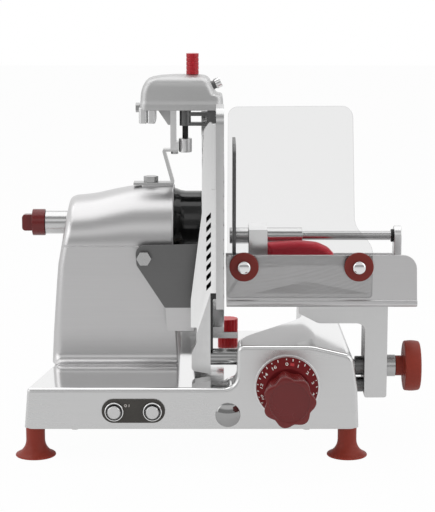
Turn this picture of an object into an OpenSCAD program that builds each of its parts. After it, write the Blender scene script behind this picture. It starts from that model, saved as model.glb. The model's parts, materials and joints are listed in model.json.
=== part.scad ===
// Upright food slicer with a 250 mm vertical blade.
// X runs along the blade axis to the operator's right, Y runs away from the operator, Z is up.
// The origin lies on the table under the middle of the machine. All sizes are millimetres.

/* [Base] */
// Height of the feet
foot_h = 38; // [34:1:48]
// Radius of a foot at the base
foot_top_r = 11; // [9:0.5:14]
// Radius of a foot on the table
foot_flare_r = 23.5; // [20:0.5:28]
// Left end of the base at its front
base_left_x = -225; // [-232:1:-220]
// Right end of the base
base_right_x = 163; // [160:1:168]
// Depth of the base
base_depth = 300; // [296:1:330]
// Height of the base casting
base_h = 47; // [44:1:52]
// Draft of the base ends, from bottom to top
base_draft = 4; // [2:0.5:6]
// Rounding of the base's upper edges
base_edge_r = 4; // [2:0.5:6]
// Wall of the base casting
wall = 6; // [4.5:0.5:7]
// Height of the dial housing above the base
tower_h = 50; // [48:1:56]
// Left wall of the dial housing
tower_left_x = 22; // [18:1:24]
// Fillet where the dial housing rises from the base
tower_fillet = 14; // [8:1:16]
// Left wall of the rail housing behind the dial
rail_left_x = 103; // [98:1:105]

/* [Controls] */
// Middle of the control panel
panel_x = -96.8; // [-105:0.5:-90]
// Length of the control panel
panel_w = 73; // [70:1:84]
// Height of the control panel
panel_h = 28; // [26:1:34]
// Thickness of the control panel
panel_t = 2; // [1:0.5:3]
// Distance between the two buttons
button_pitch = 44; // [38:1:48]
// Radius of a button
button_r = 7.5; // [6:0.5:9]
// Travel of a button
button_travel = 3; // [2:0.5:4]
// Radius of a button's bezel
bezel_r = 11; // [10.5:0.5:12]
// Middle of the bright cap
cap_x = 12; // [8:1:16]
// Radius of the bright cap
cap_r = 14.4; // [12:0.2:16]

/* [Dial] */
// Dial axis across the machine
dial_x = 80; // [78:1:82]
// Dial axis above the base's underside
dial_up = 48.7; // [48:0.5:50]
// Radius of the dial at its rim
dial_r = 36; // [34:0.5:38]
// Length of the dial
dial_h = 16; // [12:1:20]
// Radius over the knob's lobes
knob_r = 30; // [28:0.5:32]
// Number of lobes on the knob
knob_lobes = 7; // [5:1:9]
// Length of the knob
knob_h = 52; // [44:1:58]
// Radius of the cam shaft
cam_shaft_r = 6; // [5:0.5:7]
// Radius of the cam
cam_r = 36.5; // [36.2:0.1:36.8]
// Turn of the dial from closed to fully open, in degrees
dial_turn = 320; // [280:5:330]
// Widest slice
slice_max = 16; // [12:0.5:16]

/* [Drive] */
// Blade axis behind the base's front face
blade_back = 185; // [182:1:190]
// Blade axis above the table
blade_z = 248; // [246:1:252]
// Radius of the hollow blade shaft
shaft_r = 15; // [13:0.5:16]
// Bore of the hollow blade shaft
shaft_bore_r = 7; // [6.6:0.1:8]
// Outer radius of a shaft bearing
bearing_r = 26; // [24:0.5:27]
// Width of a shaft bearing
bearing_w = 12; // [10:0.5:12]
// Motor axis below the blade axis
motor_drop = 99; // [97:1:102]
// Radius of the motor stator
stator_r = 46; // [42:1:47]
// Length of the motor stator
stator_l = 78; // [60:1:80]
// Running radius of the motor pulley
motor_pulley_r = 14; // [12:0.5:16]
// Running radius of the blade pulley
blade_pulley_r = 32; // [28:0.5:33]
// Width of the drive belt
belt_w = 14; // [10:1:16]
// Thickness of the drive belt
belt_t = 3; // [2:0.5:4]
// Left end of the motor housing at its foot
housing_left_x = -200.5; // [-202:0.5:-198]
// Right end of the motor housing at its head
housing_right_x = -53; // [-54:0.5:-52]
// Half depth of the motor housing
housing_half = 65; // [62:1:67]
// Height of the rounded top above the table at its right end
housing_top_z = 295.5; // [292:0.5:298]

/* [Blade] */
// Diameter of the blade
blade_d = 250; // [240:1:252]
// Cutting plane of the blade
blade_plane_x = 8; // [7.5:0.1:8.2]
// Thickness of the blade's web
blade_t = 2.5; // [2:0.1:3]
// Width of the blade's face left bare outside its cover
cover_band = 27; // [26:1:35]
// Gap between the blade's edge and the guard rim
guard_gap = 5; // [3:0.5:7]
// Thickness of the guard rim
guard_rim_t = 7.5; // [5:0.5:8]
// Left edge of the guard rim
guard_left_x = -20; // [-24:0.5:-16]
// Radius of the tie rod
tie_r = 4; // [3:0.5:5]
// Radius of the tie rod sleeve
sleeve_r = 14.2; // [12:0.2:16]
// Left end of the tie rod knob
tie_end_x = -241; // [-248:1:-236]

/* [Gauge] */
// Thickness of the gauge plate
gauge_t = 9; // [7:0.5:9]
// Front edge of the gauge plate behind the base front
gauge_front = 15; // [12:1:25]
// Lower edge of the gauge plate
gauge_low_z = 173; // [170:1:178]
// Upper edge of the gauge plate
gauge_top_z = 405; // [390:1:408]
// Gap between the gauge plate and the blade's edge
gauge_gap = 4; // [3:0.5:6]
// Radius of the gauge shaft
gauge_shaft_r = 9.7; // [8:0.1:10]
// Gauge shaft behind the base front
gauge_shaft_back = 62; // [60:0.5:64]

/* [Carriage] */
// Travel of the carriage
carriage_travel = 180; // [150:5:180]
// Front wall of the tray behind the base front
tray_front = 50; // [46:1:54]
// Depth of the tray
tray_depth = 220; // [200:5:240]
// Left end of the tray
tray_left_x = 10.5; // [10:0.5:12]
// Right end of the tray
tray_right_x = 233; // [228:1:236]
// Underside of the tray
tray_z = 170; // [168:0.5:172]
// Thickness of the tray floor
tray_floor = 9; // [6:0.5:10]
// Height of the tray's front wall above its underside
tray_wall_h = 61; // [52:1:66]
// Thickness of the tray walls
tray_wall_t = 4; // [3:0.5:5]
// Thickness of the clear hand guard
clear_t = 4; // [3:0.5:5]
// Top of the clear hand guard
clear_top_z = 405; // [384:1:410]
// Radius of a hand guard washer
washer_r = 17; // [14:0.5:18]
// Radius of the slide bar
bar_r = 10; // [8:0.5:11]
// Slide bar across the machine
bar_x = 127.5; // [127:0.5:128.5]
// Left face of the carriage arm's leg
arm_left_x = 173.5; // [172:0.5:176]
// Right face of the carriage arm's leg
arm_right_x = 200; // [196:0.5:203]
// Width of the carriage arm from front to rear
arm_w = 50; // [44:1:56]
// Radius of the carriage lock shaft
lock_r = 8; // [6:0.5:8.5]
// Radius of the carriage lock knob
lock_knob_r = 30.5; // [26:0.5:32]
// Right end of the carriage lock knob
lock_end_x = 241; // [236:1:244]

/* [Pusher] */
// Pusher rod behind the base front
rod_back = 120; // [116:1:126]
// Pusher rod above the table
rod_z = 242.5; // [240:0.5:246]
// Radius of the pusher rod
rod_r = 5.4; // [4.5:0.1:6]
// Outer radius of the pusher sleeve
pusher_r = 9.6; // [8.6:0.1:10.5]
// Travel of the pusher
pusher_travel = 105; // [80:5:108]
// Height of the pusher plate
pusher_plate_h = 173; // [140:1:180]
// Width of the pusher plate
pusher_plate_w = 108; // [90:1:116]

/* [Sharpener] */
// Underside of the sharpener cover above the blade's edge
sharp_gap = 15.8; // [14:0.2:18]
// Height of the sharpener cover
sharp_h = 41.5; // [40:0.5:46]
// Half depth of the sharpener cover
sharp_half = 30; // [26:1:36]
// Grinding spindle across the machine
spindle_x = -39.4; // [-41:0.2:-38]
// Lifting knob across the machine
lift_x = -30.4; // [-32:0.2:-28]
// Radius of the lifting knob
lift_r = 7.6; // [6.5:0.1:9]
// Height of the lifting knob
lift_h = 25; // [18:1:28]
// Travel of the lifting knob
lift_travel = 6; // [3:0.5:8]
// Travel of the honing button
hone_travel = 3; // [2:0.5:3.5]

/* [Hidden] */
$fn = 64;
// Running clearance of a shaft in its bore
run = 0.05;
// Clearance of a seated pin, screw or bush
seat = 0.03;
// Free gap between pieces that move past each other
free = 0.3;
// Steps in a rounded corner
corner_steps = 8;

base_top = foot_h + base_h;
tower_top = base_top + tower_h;
dial_reach = dial_h + knob_h + 2;
blade_r = blade_d / 2;
cover_r = blade_r - cover_band;
guard_in_r = blade_r + guard_gap;
guard_r = guard_in_r + guard_rim_t;
// The front face is placed so that the whole machine is centred over the origin
front_y = (dial_reach - blade_back - guard_r) / 2;
axis_y = front_y + blade_back;
motor_z = blade_z - motor_drop;

foot_left_x = base_left_x + 13;
foot_right_x = base_right_x - 12;
foot_inset = 20;
foot_rear_left = 25;
foot_rear_right = -4;
foot_stud_r = 4;
cover_t = 2;

button_z = foot_h + 20.5;
button_face = 9;
switch_gap = 1;
cap_z = foot_h + 15.6;
cap_h = 5;
cap_spigot_r = 6;

dial_z = foot_h + dial_up;
dial_bezel_r = dial_r + 2;
dial_taper = 10;
knob_back_r = dial_r - dial_taper - 2;
cam_back = 26;
cam_t = 12;
cam_web = 4;
follower_r = 3;
follower_x = dial_x - 9;
gauge_shaft_z = dial_z + 20.7;
gauge_shaft_y = front_y + gauge_shaft_back;
gauge_shaft_end = follower_x + 5;
bush_r = gauge_shaft_r + 3;
gauge_face_x = blade_plane_x - 0.6;
gauge_back_x = gauge_face_x - gauge_t;
gauge_arm_low = base_top + 4;
gauge_arm_w = 22;
spine_t = 4.8;
spacer_in = 1.8;
spacer_top_z = gauge_low_z + 13;

belt_x = -82;
chamber_gap = 3;
pulley_w = belt_w + 4;
bearing_right_x = housing_right_x - bearing_w;
chamber_right_x = bearing_right_x;
chamber_left_x = belt_x - pulley_w / 2 - chamber_gap;
bearing_left_x = chamber_left_x - 30;
stator_right_x = chamber_left_x - 4;
stator_left_x = stator_right_x - stator_l;
rotor_gap = 1;
rotor_r = stator_r * 0.55;
motor_shaft_r = 6;
housing_arc_z = 231;
flank_step = 2.5;
flank_half = housing_half - flank_step;
housing_skirt = 12;
sleeve_end_x = -212;
sleeve_in_x = -176;
tie_collar_x = -228;

collar_right_x = -19.6;
collar_r = 39;
flange_r = 38;
flange_left_x = -6;
blade_left_x = 2;
blade_web_x = blade_left_x + blade_t;
spigot_r = 20;
blade_screw_pitch = 29;
blade_screw_r = 3;
blade_screws_n = 3;
cover_left_x = blade_web_x + 0.7;
cover_boss_r = 6.2;
guard_foot_in = 30;
guard_foot_y = front_y + base_depth - guard_foot_in;
guard_foot_d = 26;
guard_foot_t = 4;
clamp_x = 13.5;
clamp_y = guard_foot_y + guard_foot_d / 2;
clamp_r = 13;
clamp_h = 15.6;
clamp_stud_r = 4;

lock_y = front_y + 85;
lock_z = foot_h + 53;
bar_z = lock_z;
slider_half = 15;
slider_left_x = bar_x - bar_r - 5;
slider_right_x = bar_x + bar_r + 6;
slider_l = 44;
slider_y = lock_y - slider_l / 2;
slot_h = 2 * (lock_r + 1.5);
arm_y = lock_y - arm_w / 2;
arm_low_z = foot_h + 20;
arm_reach = 85;
bush_gap = 1;
arm_bush_r = 11.4;
buffer_r = 9;
buffer_l = 8;
tray_y = front_y + tray_front;
tray_top = tray_z + tray_floor;
rod_y = front_y + rod_back;
post_x = 211;
post_w = 8.8;
post_half = pusher_r + 2.4;
stop_t = 3.3;
stop_r = 7.7;
pusher_left_x = 14.6;
pusher_right_x = post_x - stop_t - pusher_travel - 1.3;
block_left_x = 37;
block_w = 22;
plate_x = 18;
plate_t = 3.6;
washer_left_x = 30.8;
washer_right_x = 164;
washer_z = tray_z + 48.5;
washer_t = 4;
guard_screw_r = 3;

sharp_z = blade_z + blade_r + sharp_gap;
sharp_top = sharp_z + sharp_h;
sharp_left_x = -94;
sharp_right_x = 6.9;
sharp_wall = 4;
post_left_x = -57.4;
post_plate_t = 7;
post_low_z = sharp_z - 49.5;
post_bolt_x = post_left_x + 4.8;
post_bolt_r = 2.5;
post_foot_l = 9.5;
leg_w = 10.2;
leg_h = 16;
side_screw_r = 2.5;
side_screw_z = sharp_z + 1;
strip_t = 2.8;
strip_w = 18;
strip_left_x = -103;
strip_bend_x = -54;
bolt_x = -81.8;
bolt_r = 4;
top_thread = 6;
deflector_y = front_y + 100;
deflector_t = 2.5;
deflector_bolt_x = -87.5;
deflector_bolt_z = 218.7;
hone_tilt = 25;
hone_r = 5.2;
hone_face_x = -6.1;
hone_face_z = sharp_top - 13.5;

// Geometry helpers

function unit(v) = v / norm(v);

// Points of the arc that rounds the corner b, where each point is [x, y, radius]
function corner_arc(a, b, c) =
  let (
    p = [b[0], b[1]],
    u = unit([a[0] - b[0], a[1] - b[1]]),
    v = unit([c[0] - b[0], c[1] - b[1]]),
    half = acos(u * v) / 2,
    centre = p + unit(u + v) * b[2] / sin(half),
    from = p + u * b[2] / tan(half) - centre,
    to = p + v * b[2] / tan(half) - centre,
    start = atan2(from[1], from[0]),
    turn = (atan2(to[1], to[0]) - start + 540) % 360 - 180
  )
  b[2] == 0 ? [p] :
  [for (k = [0:corner_steps]) centre + b[2] * [cos(start + turn * k / corner_steps),
                                               sin(start + turn * k / corner_steps)]];

// Outline with rounded corners from a few [x, y, radius] points
function rounded(p) =
  [for (k = [0:len(p) - 1]) each corner_arc(p[(k + len(p) - 1) % len(p)], p[k], p[(k + 1) % len(p)])];

module outline(p) { polygon(rounded(p)); }

// A profile drawn in X and Z, drawn out along Y
module extrude_y(y0, y1) { translate([0, y1, 0]) rotate([90, 0, 0]) linear_extrude(y1 - y0) children(); }

// A profile drawn in Y and Z, drawn out along X
module extrude_x(x0, x1) { translate([x0, 0, 0]) rotate([90, 0, 90]) linear_extrude(x1 - x0) children(); }

// A profile drawn in X and Y, drawn out along Z
module extrude_z(z0, z1) { translate([0, 0, z0]) linear_extrude(z1 - z0) children(); }

module rod_x(x0, x1, r, y, z) { translate([x0, y, z]) rotate([0, 90, 0]) cylinder(h = x1 - x0, r = r); }

module rod_y(y0, y1, r, x, z) { translate([x, y0, z]) rotate([-90, 0, 0]) cylinder(h = y1 - y0, r = r); }

module rod_z(z0, z1, r, x, y) { translate([x, y, z0]) cylinder(h = z1 - z0, r = r); }

module block(x0, x1, y0, y1, z0, z1) { translate([x0, y0, z0]) cube([x1 - x0, y1 - y0, z1 - z0]); }

// A [radius, x] profile turned about the blade axis
module turned_x(p, angle = 360, start = 0) {
  translate([0, axis_y, blade_z]) rotate([0, 90, 0]) rotate([0, 0, start])
    rotate_extrude(angle = angle, $fn = 128) polygon(p);
}

// A knurled grip outline with n ribs
module knurled(r, n) {
  rib_r = 3.2 * r / n;
  union() {
    circle(r - rib_r);
    for (k = [0:n - 1]) rotate(k * 360 / n) translate([r - rib_r, 0]) circle(rib_r, $fn = 24);
  }
}

// Base

function base_plan(i) = [
  [base_left_x + i, front_y + i, 8], [base_right_x - i, front_y + i, 8],
  [base_right_x - 5 - i, front_y + base_depth - i, 12], [base_left_x + 27 + i, front_y + base_depth - i, 12],
  [base_left_x + 21 + i, front_y + 113, 40]
];

function tower_plan() = [
  [tower_left_x - tower_fillet - 4, front_y, 0], [base_right_x, front_y, 8],
  [base_right_x - 5, front_y + base_depth, 12], [rail_left_x, front_y + base_depth, 0],
  [rail_left_x, front_y + 158, 20], [tower_left_x, front_y + 45, 10],
  [tower_left_x - tower_fillet - 4, front_y + 36, 0]
];

module base_envelope() {
  intersection() {
    extrude_y(front_y - 1, front_y + base_depth + 1)
      outline([[base_left_x, foot_h, 0], [base_right_x, foot_h, 0],
               [base_right_x - base_draft / 2, base_top, base_edge_r],
               [base_left_x + base_draft, base_top, base_edge_r]]);
    extrude_z(foot_h, base_top) outline(base_plan(0));
    extrude_x(base_left_x, base_right_x)
      outline([[front_y, foot_h, 0], [front_y + base_depth, foot_h, 0],
               [front_y + base_depth, base_top, base_edge_r], [front_y, base_top, base_edge_r]]);
  }
}

module tower_envelope() {
  shoulder_x = base_right_x - 55;
  intersection() {
    extrude_y(front_y - 1, front_y + base_depth + 1)
      outline([[tower_left_x - tower_fillet - 4, base_top - wall, 0], [base_right_x - 2, base_top - wall, 0],
               [base_right_x - 8, tower_top - 11, 12], [shoulder_x, tower_top, 60],
               [tower_left_x + 1, tower_top, 6], [tower_left_x, base_top, tower_fillet],
               [tower_left_x - tower_fillet - 4, base_top, 0]]);
    extrude_z(base_top - wall, tower_top) outline(tower_plan());
    extrude_x(tower_left_x - tower_fillet - 4, base_right_x)
      outline([[front_y, base_top - wall, 0], [front_y + base_depth, base_top - wall, 0],
               [front_y + base_depth, tower_top, 10], [front_y, tower_top, 5]]);
  }
}

module base_cavity() {
  extrude_z(foot_h - 1, base_top - wall) outline(base_plan(wall));
  intersection() {
    extrude_y(front_y + wall, front_y + base_depth - wall)
      outline([[tower_left_x + wall + 2, foot_h - 1, 0], [base_right_x - wall, foot_h - 1, 0],
               [base_right_x - 12, tower_top - 19, 10], [base_right_x - 43, tower_top - 8, 20],
               [tower_left_x + wall + 2, tower_top - 8, 4]]);
    extrude_z(foot_h - 1, tower_top)
      polygon([[tower_left_x + wall + 2, front_y + wall], [base_right_x - wall, front_y + wall],
               [base_right_x - wall - 5, front_y + base_depth - wall],
               [rail_left_x + wall + 1, front_y + base_depth - wall],
               [rail_left_x + wall + 1, front_y + 156], [tower_left_x + wall + 2, front_y + 46]]);
  }
}

module at_feet() {
  for (x = [foot_left_x, foot_right_x], y = [foot_inset, base_depth - foot_inset])
    translate([x + (y == foot_inset ? 0 : x < 0 ? foot_rear_left : foot_rear_right), front_y + y, 0]) children();
}

module at_bottom_screws() {
  for (x = [base_left_x + 60, base_right_x - 60], y = [wall + 4, base_depth - wall - 4])
    translate([x, front_y + y, foot_h]) children();
}

module at_housing_bolts() {
  for (x = [housing_left_x + 20, housing_right_x - 5], y = [-1, 1])
    translate([x, axis_y + y * (housing_half - 9), base_top]) children();
}

bar_seat = 5;
bar_start = front_y + wall - 2;
bar_end = front_y + base_depth - wall + 2;
gauge_boss_r = bush_r + 4;
bush_left_x = 30;
bush_right_x = gauge_shaft_end - slice_max - follower_r - 8;

module base_bosses() {
  boss_r = foot_top_r + 2;
  boss_h = bar_z - slider_half - foot_h - 4;
  at_feet() translate([0, 0, foot_h]) cylinder(h = boss_h, r = boss_r);
  at_bottom_screws() cylinder(h = base_h - 1, r = 6);
  rod_y(front_y + 1, front_y + wall + bar_seat, bar_r + 5, bar_x, bar_z);
  rod_y(front_y + base_depth - wall - bar_seat, front_y + base_depth - 1, bar_r + 5, bar_x, bar_z);
  rod_y(front_y + 1, front_y + cam_back - free, cam_shaft_r + 6, dial_x, dial_z);
  rod_x(bush_left_x, bush_right_x, gauge_boss_r, gauge_shaft_y, gauge_shaft_z);
}

module base_casting() {
  color("silver") difference() {
    union() {
      difference() {
        union() {
          base_envelope();
          tower_envelope();
        }
        base_cavity();
      }
      intersection() {
        base_bosses();
        union() {
          base_envelope();
          tower_envelope();
        }
      }
    }
    at_feet() translate([0, 0, foot_h - 1]) cylinder(h = 25, r = foot_stud_r + seat);
    at_bottom_screws() translate([0, 0, -1]) cylinder(h = 15, r = 2 + seat);
    rod_y(bar_start, bar_end, bar_r + seat, bar_x, bar_z);
    rod_y(front_y - 1, front_y + cam_back, cam_shaft_r + run, dial_x, dial_z);
    rod_x(tower_left_x - 20, bush_right_x + 6, bush_r + seat, gauge_shaft_y, gauge_shaft_z);
    block(base_right_x - 25, base_right_x + 1, lock_y - lock_r - 2, lock_y + carriage_travel + lock_r + 2,
          lock_z - slot_h / 2, lock_z + slot_h / 2);
    for (k = [-1, 1])
      rod_y(front_y - 1, front_y + wall + 1, button_r + 0.5, panel_x + k * button_pitch / 2, button_z);
    rod_y(front_y - 1, front_y + wall + 1, cap_spigot_r + seat, cap_x, cap_z);
    at_housing_bolts() translate([0, 0, -wall - 1]) cylinder(h = wall + 2, r = 3 + seat);
    rod_z(base_top - wall - 1, base_top + 1, clamp_stud_r + run, clamp_x, clamp_y);
    rod_z(base_top - wall - 1, base_top + 1, 9, -150, axis_y);
  }
}

module bottom_cover() {
  color("gainsboro") difference() {
    extrude_z(foot_h - cover_t, foot_h) outline(base_plan(3));
    at_feet() translate([0, 0, foot_h - cover_t - 1]) cylinder(h = cover_t + 2, r = foot_top_r + free);
    at_bottom_screws() translate([0, 0, -cover_t - 1]) cylinder(h = cover_t + 2, r = 2 + seat);
  }
}

module bottom_cover_screws() {
  color("dimgray") at_bottom_screws() {
    translate([0, 0, -cover_t - 2]) cylinder(h = 2, r = 4);
    translate([0, 0, -cover_t]) cylinder(h = cover_t + 12, r = 2);
  }
}

module foot_profile() {
  flare_h = foot_h / 2;
  sweep = 18;
  square([foot_top_r, foot_h]);
  difference() {
    square([foot_flare_r, flare_h]);
    translate([foot_top_r + sweep, flare_h]) circle(sweep, $fn = 96);
  }
}

module feet() {
  color("brown") at_feet() {
    rotate_extrude() foot_profile();
    translate([0, 0, foot_h]) cylinder(h = 22, r = foot_stud_r);
  }
}

// Controls

module stadium(w, h) {
  square([w - h, h], center = true);
  for (k = [-1, 1]) translate([k * (w - h) / 2, 0]) circle(h / 2);
}

module control_panel() {
  color("dimgray") difference() {
    extrude_y(front_y - panel_t, front_y) translate([panel_x, button_z]) stadium(panel_w, panel_h);
    for (k = [-1, 1])
      rod_y(front_y - panel_t - 1, front_y + 1, button_r + 0.5, panel_x + k * button_pitch / 2, button_z);
  }
}

module button_bezels() {
  bezel_h = 4.5;
  color("silver") for (k = [-1, 1]) difference() {
    rod_y(front_y - panel_t - bezel_h, front_y - panel_t, bezel_r, panel_x + k * button_pitch / 2, button_z);
    rod_y(front_y - panel_t - bezel_h - 1, front_y, button_r + 0.5, panel_x + k * button_pitch / 2, button_z);
  }
}

module button(side) {
  color("gainsboro") rod_y(front_y - button_face, front_y + wall + 6, button_r,
                           panel_x + side * button_pitch / 2, button_z);
}

module start_button() { button(-1); }

module stop_button() { button(1); }

switch_y = front_y + wall + 6 + button_travel + switch_gap;

module switch_block() {
  color("black") {
    block(panel_x - 36, panel_x + 36, switch_y, switch_y + 26, foot_h, foot_h + 34);
    for (k = [-1, 1])
      rod_y(switch_y - switch_gap + 0.4, switch_y + 2, 4, panel_x + k * button_pitch / 2, button_z + 9);
  }
}

module front_cap() {
  dome_r = 40;
  color("white") {
    intersection() {
      rod_y(front_y - cap_h, front_y, cap_r, cap_x, cap_z);
      translate([cap_x, front_y - cap_h + dome_r, cap_z]) sphere(dome_r, $fn = 96);
    }
    rod_y(front_y, front_y + wall, cap_spigot_r, cap_x, cap_z);
  }
}

// Dial and cam

module dial_bezel() {
  color("white") difference() {
    rod_y(front_y - 2, front_y, dial_bezel_r, dial_x, dial_z);
    rod_y(front_y - 3, front_y + 1, cam_shaft_r + 2, dial_x, dial_z);
  }
}

dial_back_y = front_y - 2 - free;
dial_front_y = front_y - 2 - dial_h;

module dial_ring() {
  color("firebrick") difference() {
    translate([dial_x, dial_back_y, dial_z]) rotate([90, 0, 0])
      cylinder(h = dial_back_y - dial_front_y, r1 = dial_r, r2 = dial_r - dial_taper);
    rod_y(dial_front_y - 1, dial_back_y + 1, cam_shaft_r, dial_x, dial_z);
  }
}

module knob_outline() {
  lobe_r = 0.36 * knob_r;
  circle(knob_r - 5);
  for (k = [0:knob_lobes - 1]) rotate(k * 360 / knob_lobes) translate([knob_r - lobe_r, 0]) circle(lobe_r);
}

module dial_knob() {
  recess_r = knob_r - 7;
  recess_h = 1.5;
  color("maroon") difference() {
    intersection() {
      extrude_y(front_y - dial_reach, dial_front_y) translate([dial_x, dial_z]) knob_outline();
      translate([dial_x, dial_front_y, dial_z]) rotate([90, 0, 0])
        cylinder(h = knob_h, r1 = knob_back_r, r2 = knob_r + 1);
    }
    rod_y(front_y - dial_reach - 1, front_y - dial_reach + recess_h, recess_r, dial_x, dial_z);
    rod_y(dial_front_y - 22, dial_front_y + 1, cam_shaft_r, dial_x, dial_z);
  }
}

// Place of the follower in the cam's own turning frame, at a share s of the dial's turn
function cam_path(s) =
  let (dx = follower_x - dial_x - slice_max * s, dz = gauge_shaft_z - dial_z, a = -dial_turn * s)
  [dx * cos(a) - dz * sin(a), dx * sin(a) + dz * cos(a)];

// Side of the cam groove, offset from the path
function cam_side(s, off) =
  let (d = unit(cam_path(s + 0.005) - cam_path(s - 0.005))) cam_path(s) + off * [-d[1], d[0]];

module cam_groove() {
  steps = 48;
  half = follower_r + 0.4;
  polygon(concat([for (k = [0:steps]) cam_side(k / steps, half)],
                 [for (k = [steps:-1:0]) cam_side(k / steps, -half)]));
  for (s = [0, 1]) translate(cam_path(s)) circle(half);
}

module cam_shaft() {
  cam_y = front_y + cam_back;
  color("gray") {
    difference() {
      rod_y(cam_y, cam_y + cam_t, cam_r, dial_x, dial_z);
      extrude_y(cam_y + cam_web, cam_y + cam_t + 1) translate([dial_x, dial_z]) cam_groove();
    }
    rod_y(dial_front_y - 20, cam_y + 1, cam_shaft_r, dial_x, dial_z);
  }
}

// Gauge

module gauge_plate() {
  rear = front_y + 95;
  groove_n = 13;
  groove_pitch = (gauge_top_z - gauge_low_z) / (groove_n + 1);
  color("lightgray") difference() {
    extrude_x(gauge_back_x, gauge_face_x)
      outline([[front_y + gauge_front, gauge_low_z, 4], [rear, gauge_low_z, 6], [rear, gauge_top_z, 25],
               [front_y + gauge_front, gauge_top_z, 18]]);
    rod_x(gauge_back_x - 1, gauge_face_x + 1, blade_r + gauge_gap, axis_y, blade_z);
    for (k = [1:groove_n])
      block(gauge_face_x - 0.8, gauge_face_x + 1, front_y + gauge_front - 1, rear + 1,
            gauge_low_z + k * groove_pitch - 1, gauge_low_z + k * groove_pitch + 1);
  }
}

// The tall arm tapers upwards beside the blade, and slanted slots lighten its right edge
module gauge_arm() {
  arm_right = gauge_back_x - spine_t;
  arm_y0 = gauge_shaft_y - gauge_arm_w / 2;
  mast_t = 12;
  mast_low = gauge_arm_low + 50;
  mast_foot = gauge_arm_low + 56;
  mast_top = gauge_top_z - 20;
  slots = 8;
  slot_pitch = 11.5;
  slot_w = 5.4;
  color("darkgray") difference() {
    union() {
      extrude_y(arm_y0, arm_y0 + gauge_arm_w)
        outline([[arm_right - 24, gauge_arm_low + 4, 5], [arm_right - spacer_in, gauge_arm_low, 0],
                 [arm_right - spacer_in, gauge_arm_low + 52, 0], [arm_right - 19, gauge_arm_low + 51, 4],
                 [arm_right - 18, gauge_arm_low + 38, 14], [arm_right - 24, gauge_arm_low + 25, 12]]);
      extrude_y(arm_y0, arm_y0 + mast_t)
        outline([[arm_right - spacer_in, mast_low, 0], [arm_right - spacer_in, spacer_top_z, 0],
                 [arm_right, spacer_top_z, 0], [arm_right, mast_top, 2], [arm_right - 3, mast_top, 2],
                 [arm_right - 9, mast_top - 8, 3], [arm_right - 11.6, mast_top - 58, 40],
                 [arm_right - 11.6, mast_top - 104, 40], [arm_right - 24.8, mast_foot + 32, 30],
                 [arm_right - 24.8, mast_foot, 1], [arm_right - 18, mast_foot, 1], [arm_right - 18, mast_low, 0]]);
      block(arm_right - 1, gauge_back_x, arm_y0, arm_y0 + gauge_arm_w - 7, spacer_top_z, blade_z + 60);
    }
    rod_x(arm_right - 12, arm_right + 1, gauge_shaft_r + seat, gauge_shaft_y, gauge_shaft_z);
    for (k = [0:slots - 1])
      extrude_y(arm_y0 - 1, arm_y0 + mast_t + 1)
        translate([arm_right - 1.2 - slot_w, spacer_top_z + 3 + k * slot_pitch])
          polygon([[0, 0], [slot_w, 6], [slot_w, 12], [0, 6]]);
  }
}

// A black strip between the arm and the plate, with a head that bears on the plate's back
module gauge_spacer() {
  arm_right = gauge_back_x - spine_t;
  arm_y0 = gauge_shaft_y - gauge_arm_w / 2;
  spacer_t = 2.9;
  head_h = 7;
  color("black") extrude_y(arm_y0, arm_y0 + 10)
    outline([[arm_right - spacer_in, gauge_shaft_z + gauge_shaft_r + 1, 0],
             [arm_right - spacer_in + spacer_t, gauge_shaft_z + gauge_shaft_r + 1, 0],
             [arm_right - spacer_in + spacer_t, spacer_top_z - head_h, 1], [gauge_back_x, spacer_top_z - head_h, 0],
             [gauge_back_x, spacer_top_z, 0], [arm_right - spacer_in, spacer_top_z, 0]]);
}

module gauge_shaft() {
  shaft_start = gauge_back_x - spine_t - 12;
  color("whitesmoke") {
    rod_x(shaft_start, gauge_shaft_end, gauge_shaft_r, gauge_shaft_y, gauge_shaft_z);
    rod_y(front_y + cam_back + cam_web + 1, gauge_shaft_y, follower_r, follower_x, gauge_shaft_z);
  }
}

module gauge_bush() {
  color("peru") difference() {
    rod_x(bush_left_x, bush_right_x, bush_r, gauge_shaft_y, gauge_shaft_z);
    rod_x(bush_left_x - 1, bush_right_x + 1, gauge_shaft_r + run, gauge_shaft_y, gauge_shaft_z);
  }
}

// Motor and drive

// Loop round both pulleys: an arc on each, joined by the two straight runs
module belt_loop(grow) {
  a = blade_pulley_r + grow;
  b = motor_pulley_r + grow;
  lean = asin((a - b) / motor_drop);
  steps = 32;
  wide = 180 + 2 * lean;
  narrow = 180 - 2 * lean;
  polygon(concat(
    [for (k = [0:steps]) a * [cos(-lean + wide * k / steps), sin(-lean + wide * k / steps)]],
    [for (k = [0:steps]) [0, -motor_drop] + b * [cos(180 + lean + narrow * k / steps),
                                                 sin(180 + lean + narrow * k / steps)]]));
}

module housing_body() {
  left = housing_left_x;
  right = housing_right_x;
  crease_z = housing_arc_z - 1;
  intersection() {
    extrude_y(axis_y - housing_half - 1, axis_y + housing_half + 1)
      outline([[left, base_top, 0], [right + 6, base_top, 0], [right, blade_z - 49, 0], [right, housing_top_z, 3],
               [right - 49, housing_top_z - 0.5, 80], [right - 95, housing_top_z - 11.5, 80],
               [left + 20, housing_top_z - 13, 12], [left + 8, blade_z - 29, 30]]);
    union() {
      intersection() {
        rod_x(left - 1, right + 7, housing_half, axis_y, housing_arc_z);
        block(left - 2, right + 8, axis_y - housing_half - 1, axis_y + housing_half + 1, crease_z, housing_top_z + 5);
      }
      block(left - 1, right + 7, axis_y - flank_half, axis_y + flank_half, base_top, housing_arc_z + 1);
    }
    extrude_z(base_top, housing_top_z + 5)
      outline([[left, axis_y - housing_half, 12], [right + 6, axis_y - housing_half, 8],
               [right + 6, axis_y + housing_half, 8], [left, axis_y + housing_half, 12]]);
  }
}

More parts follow.
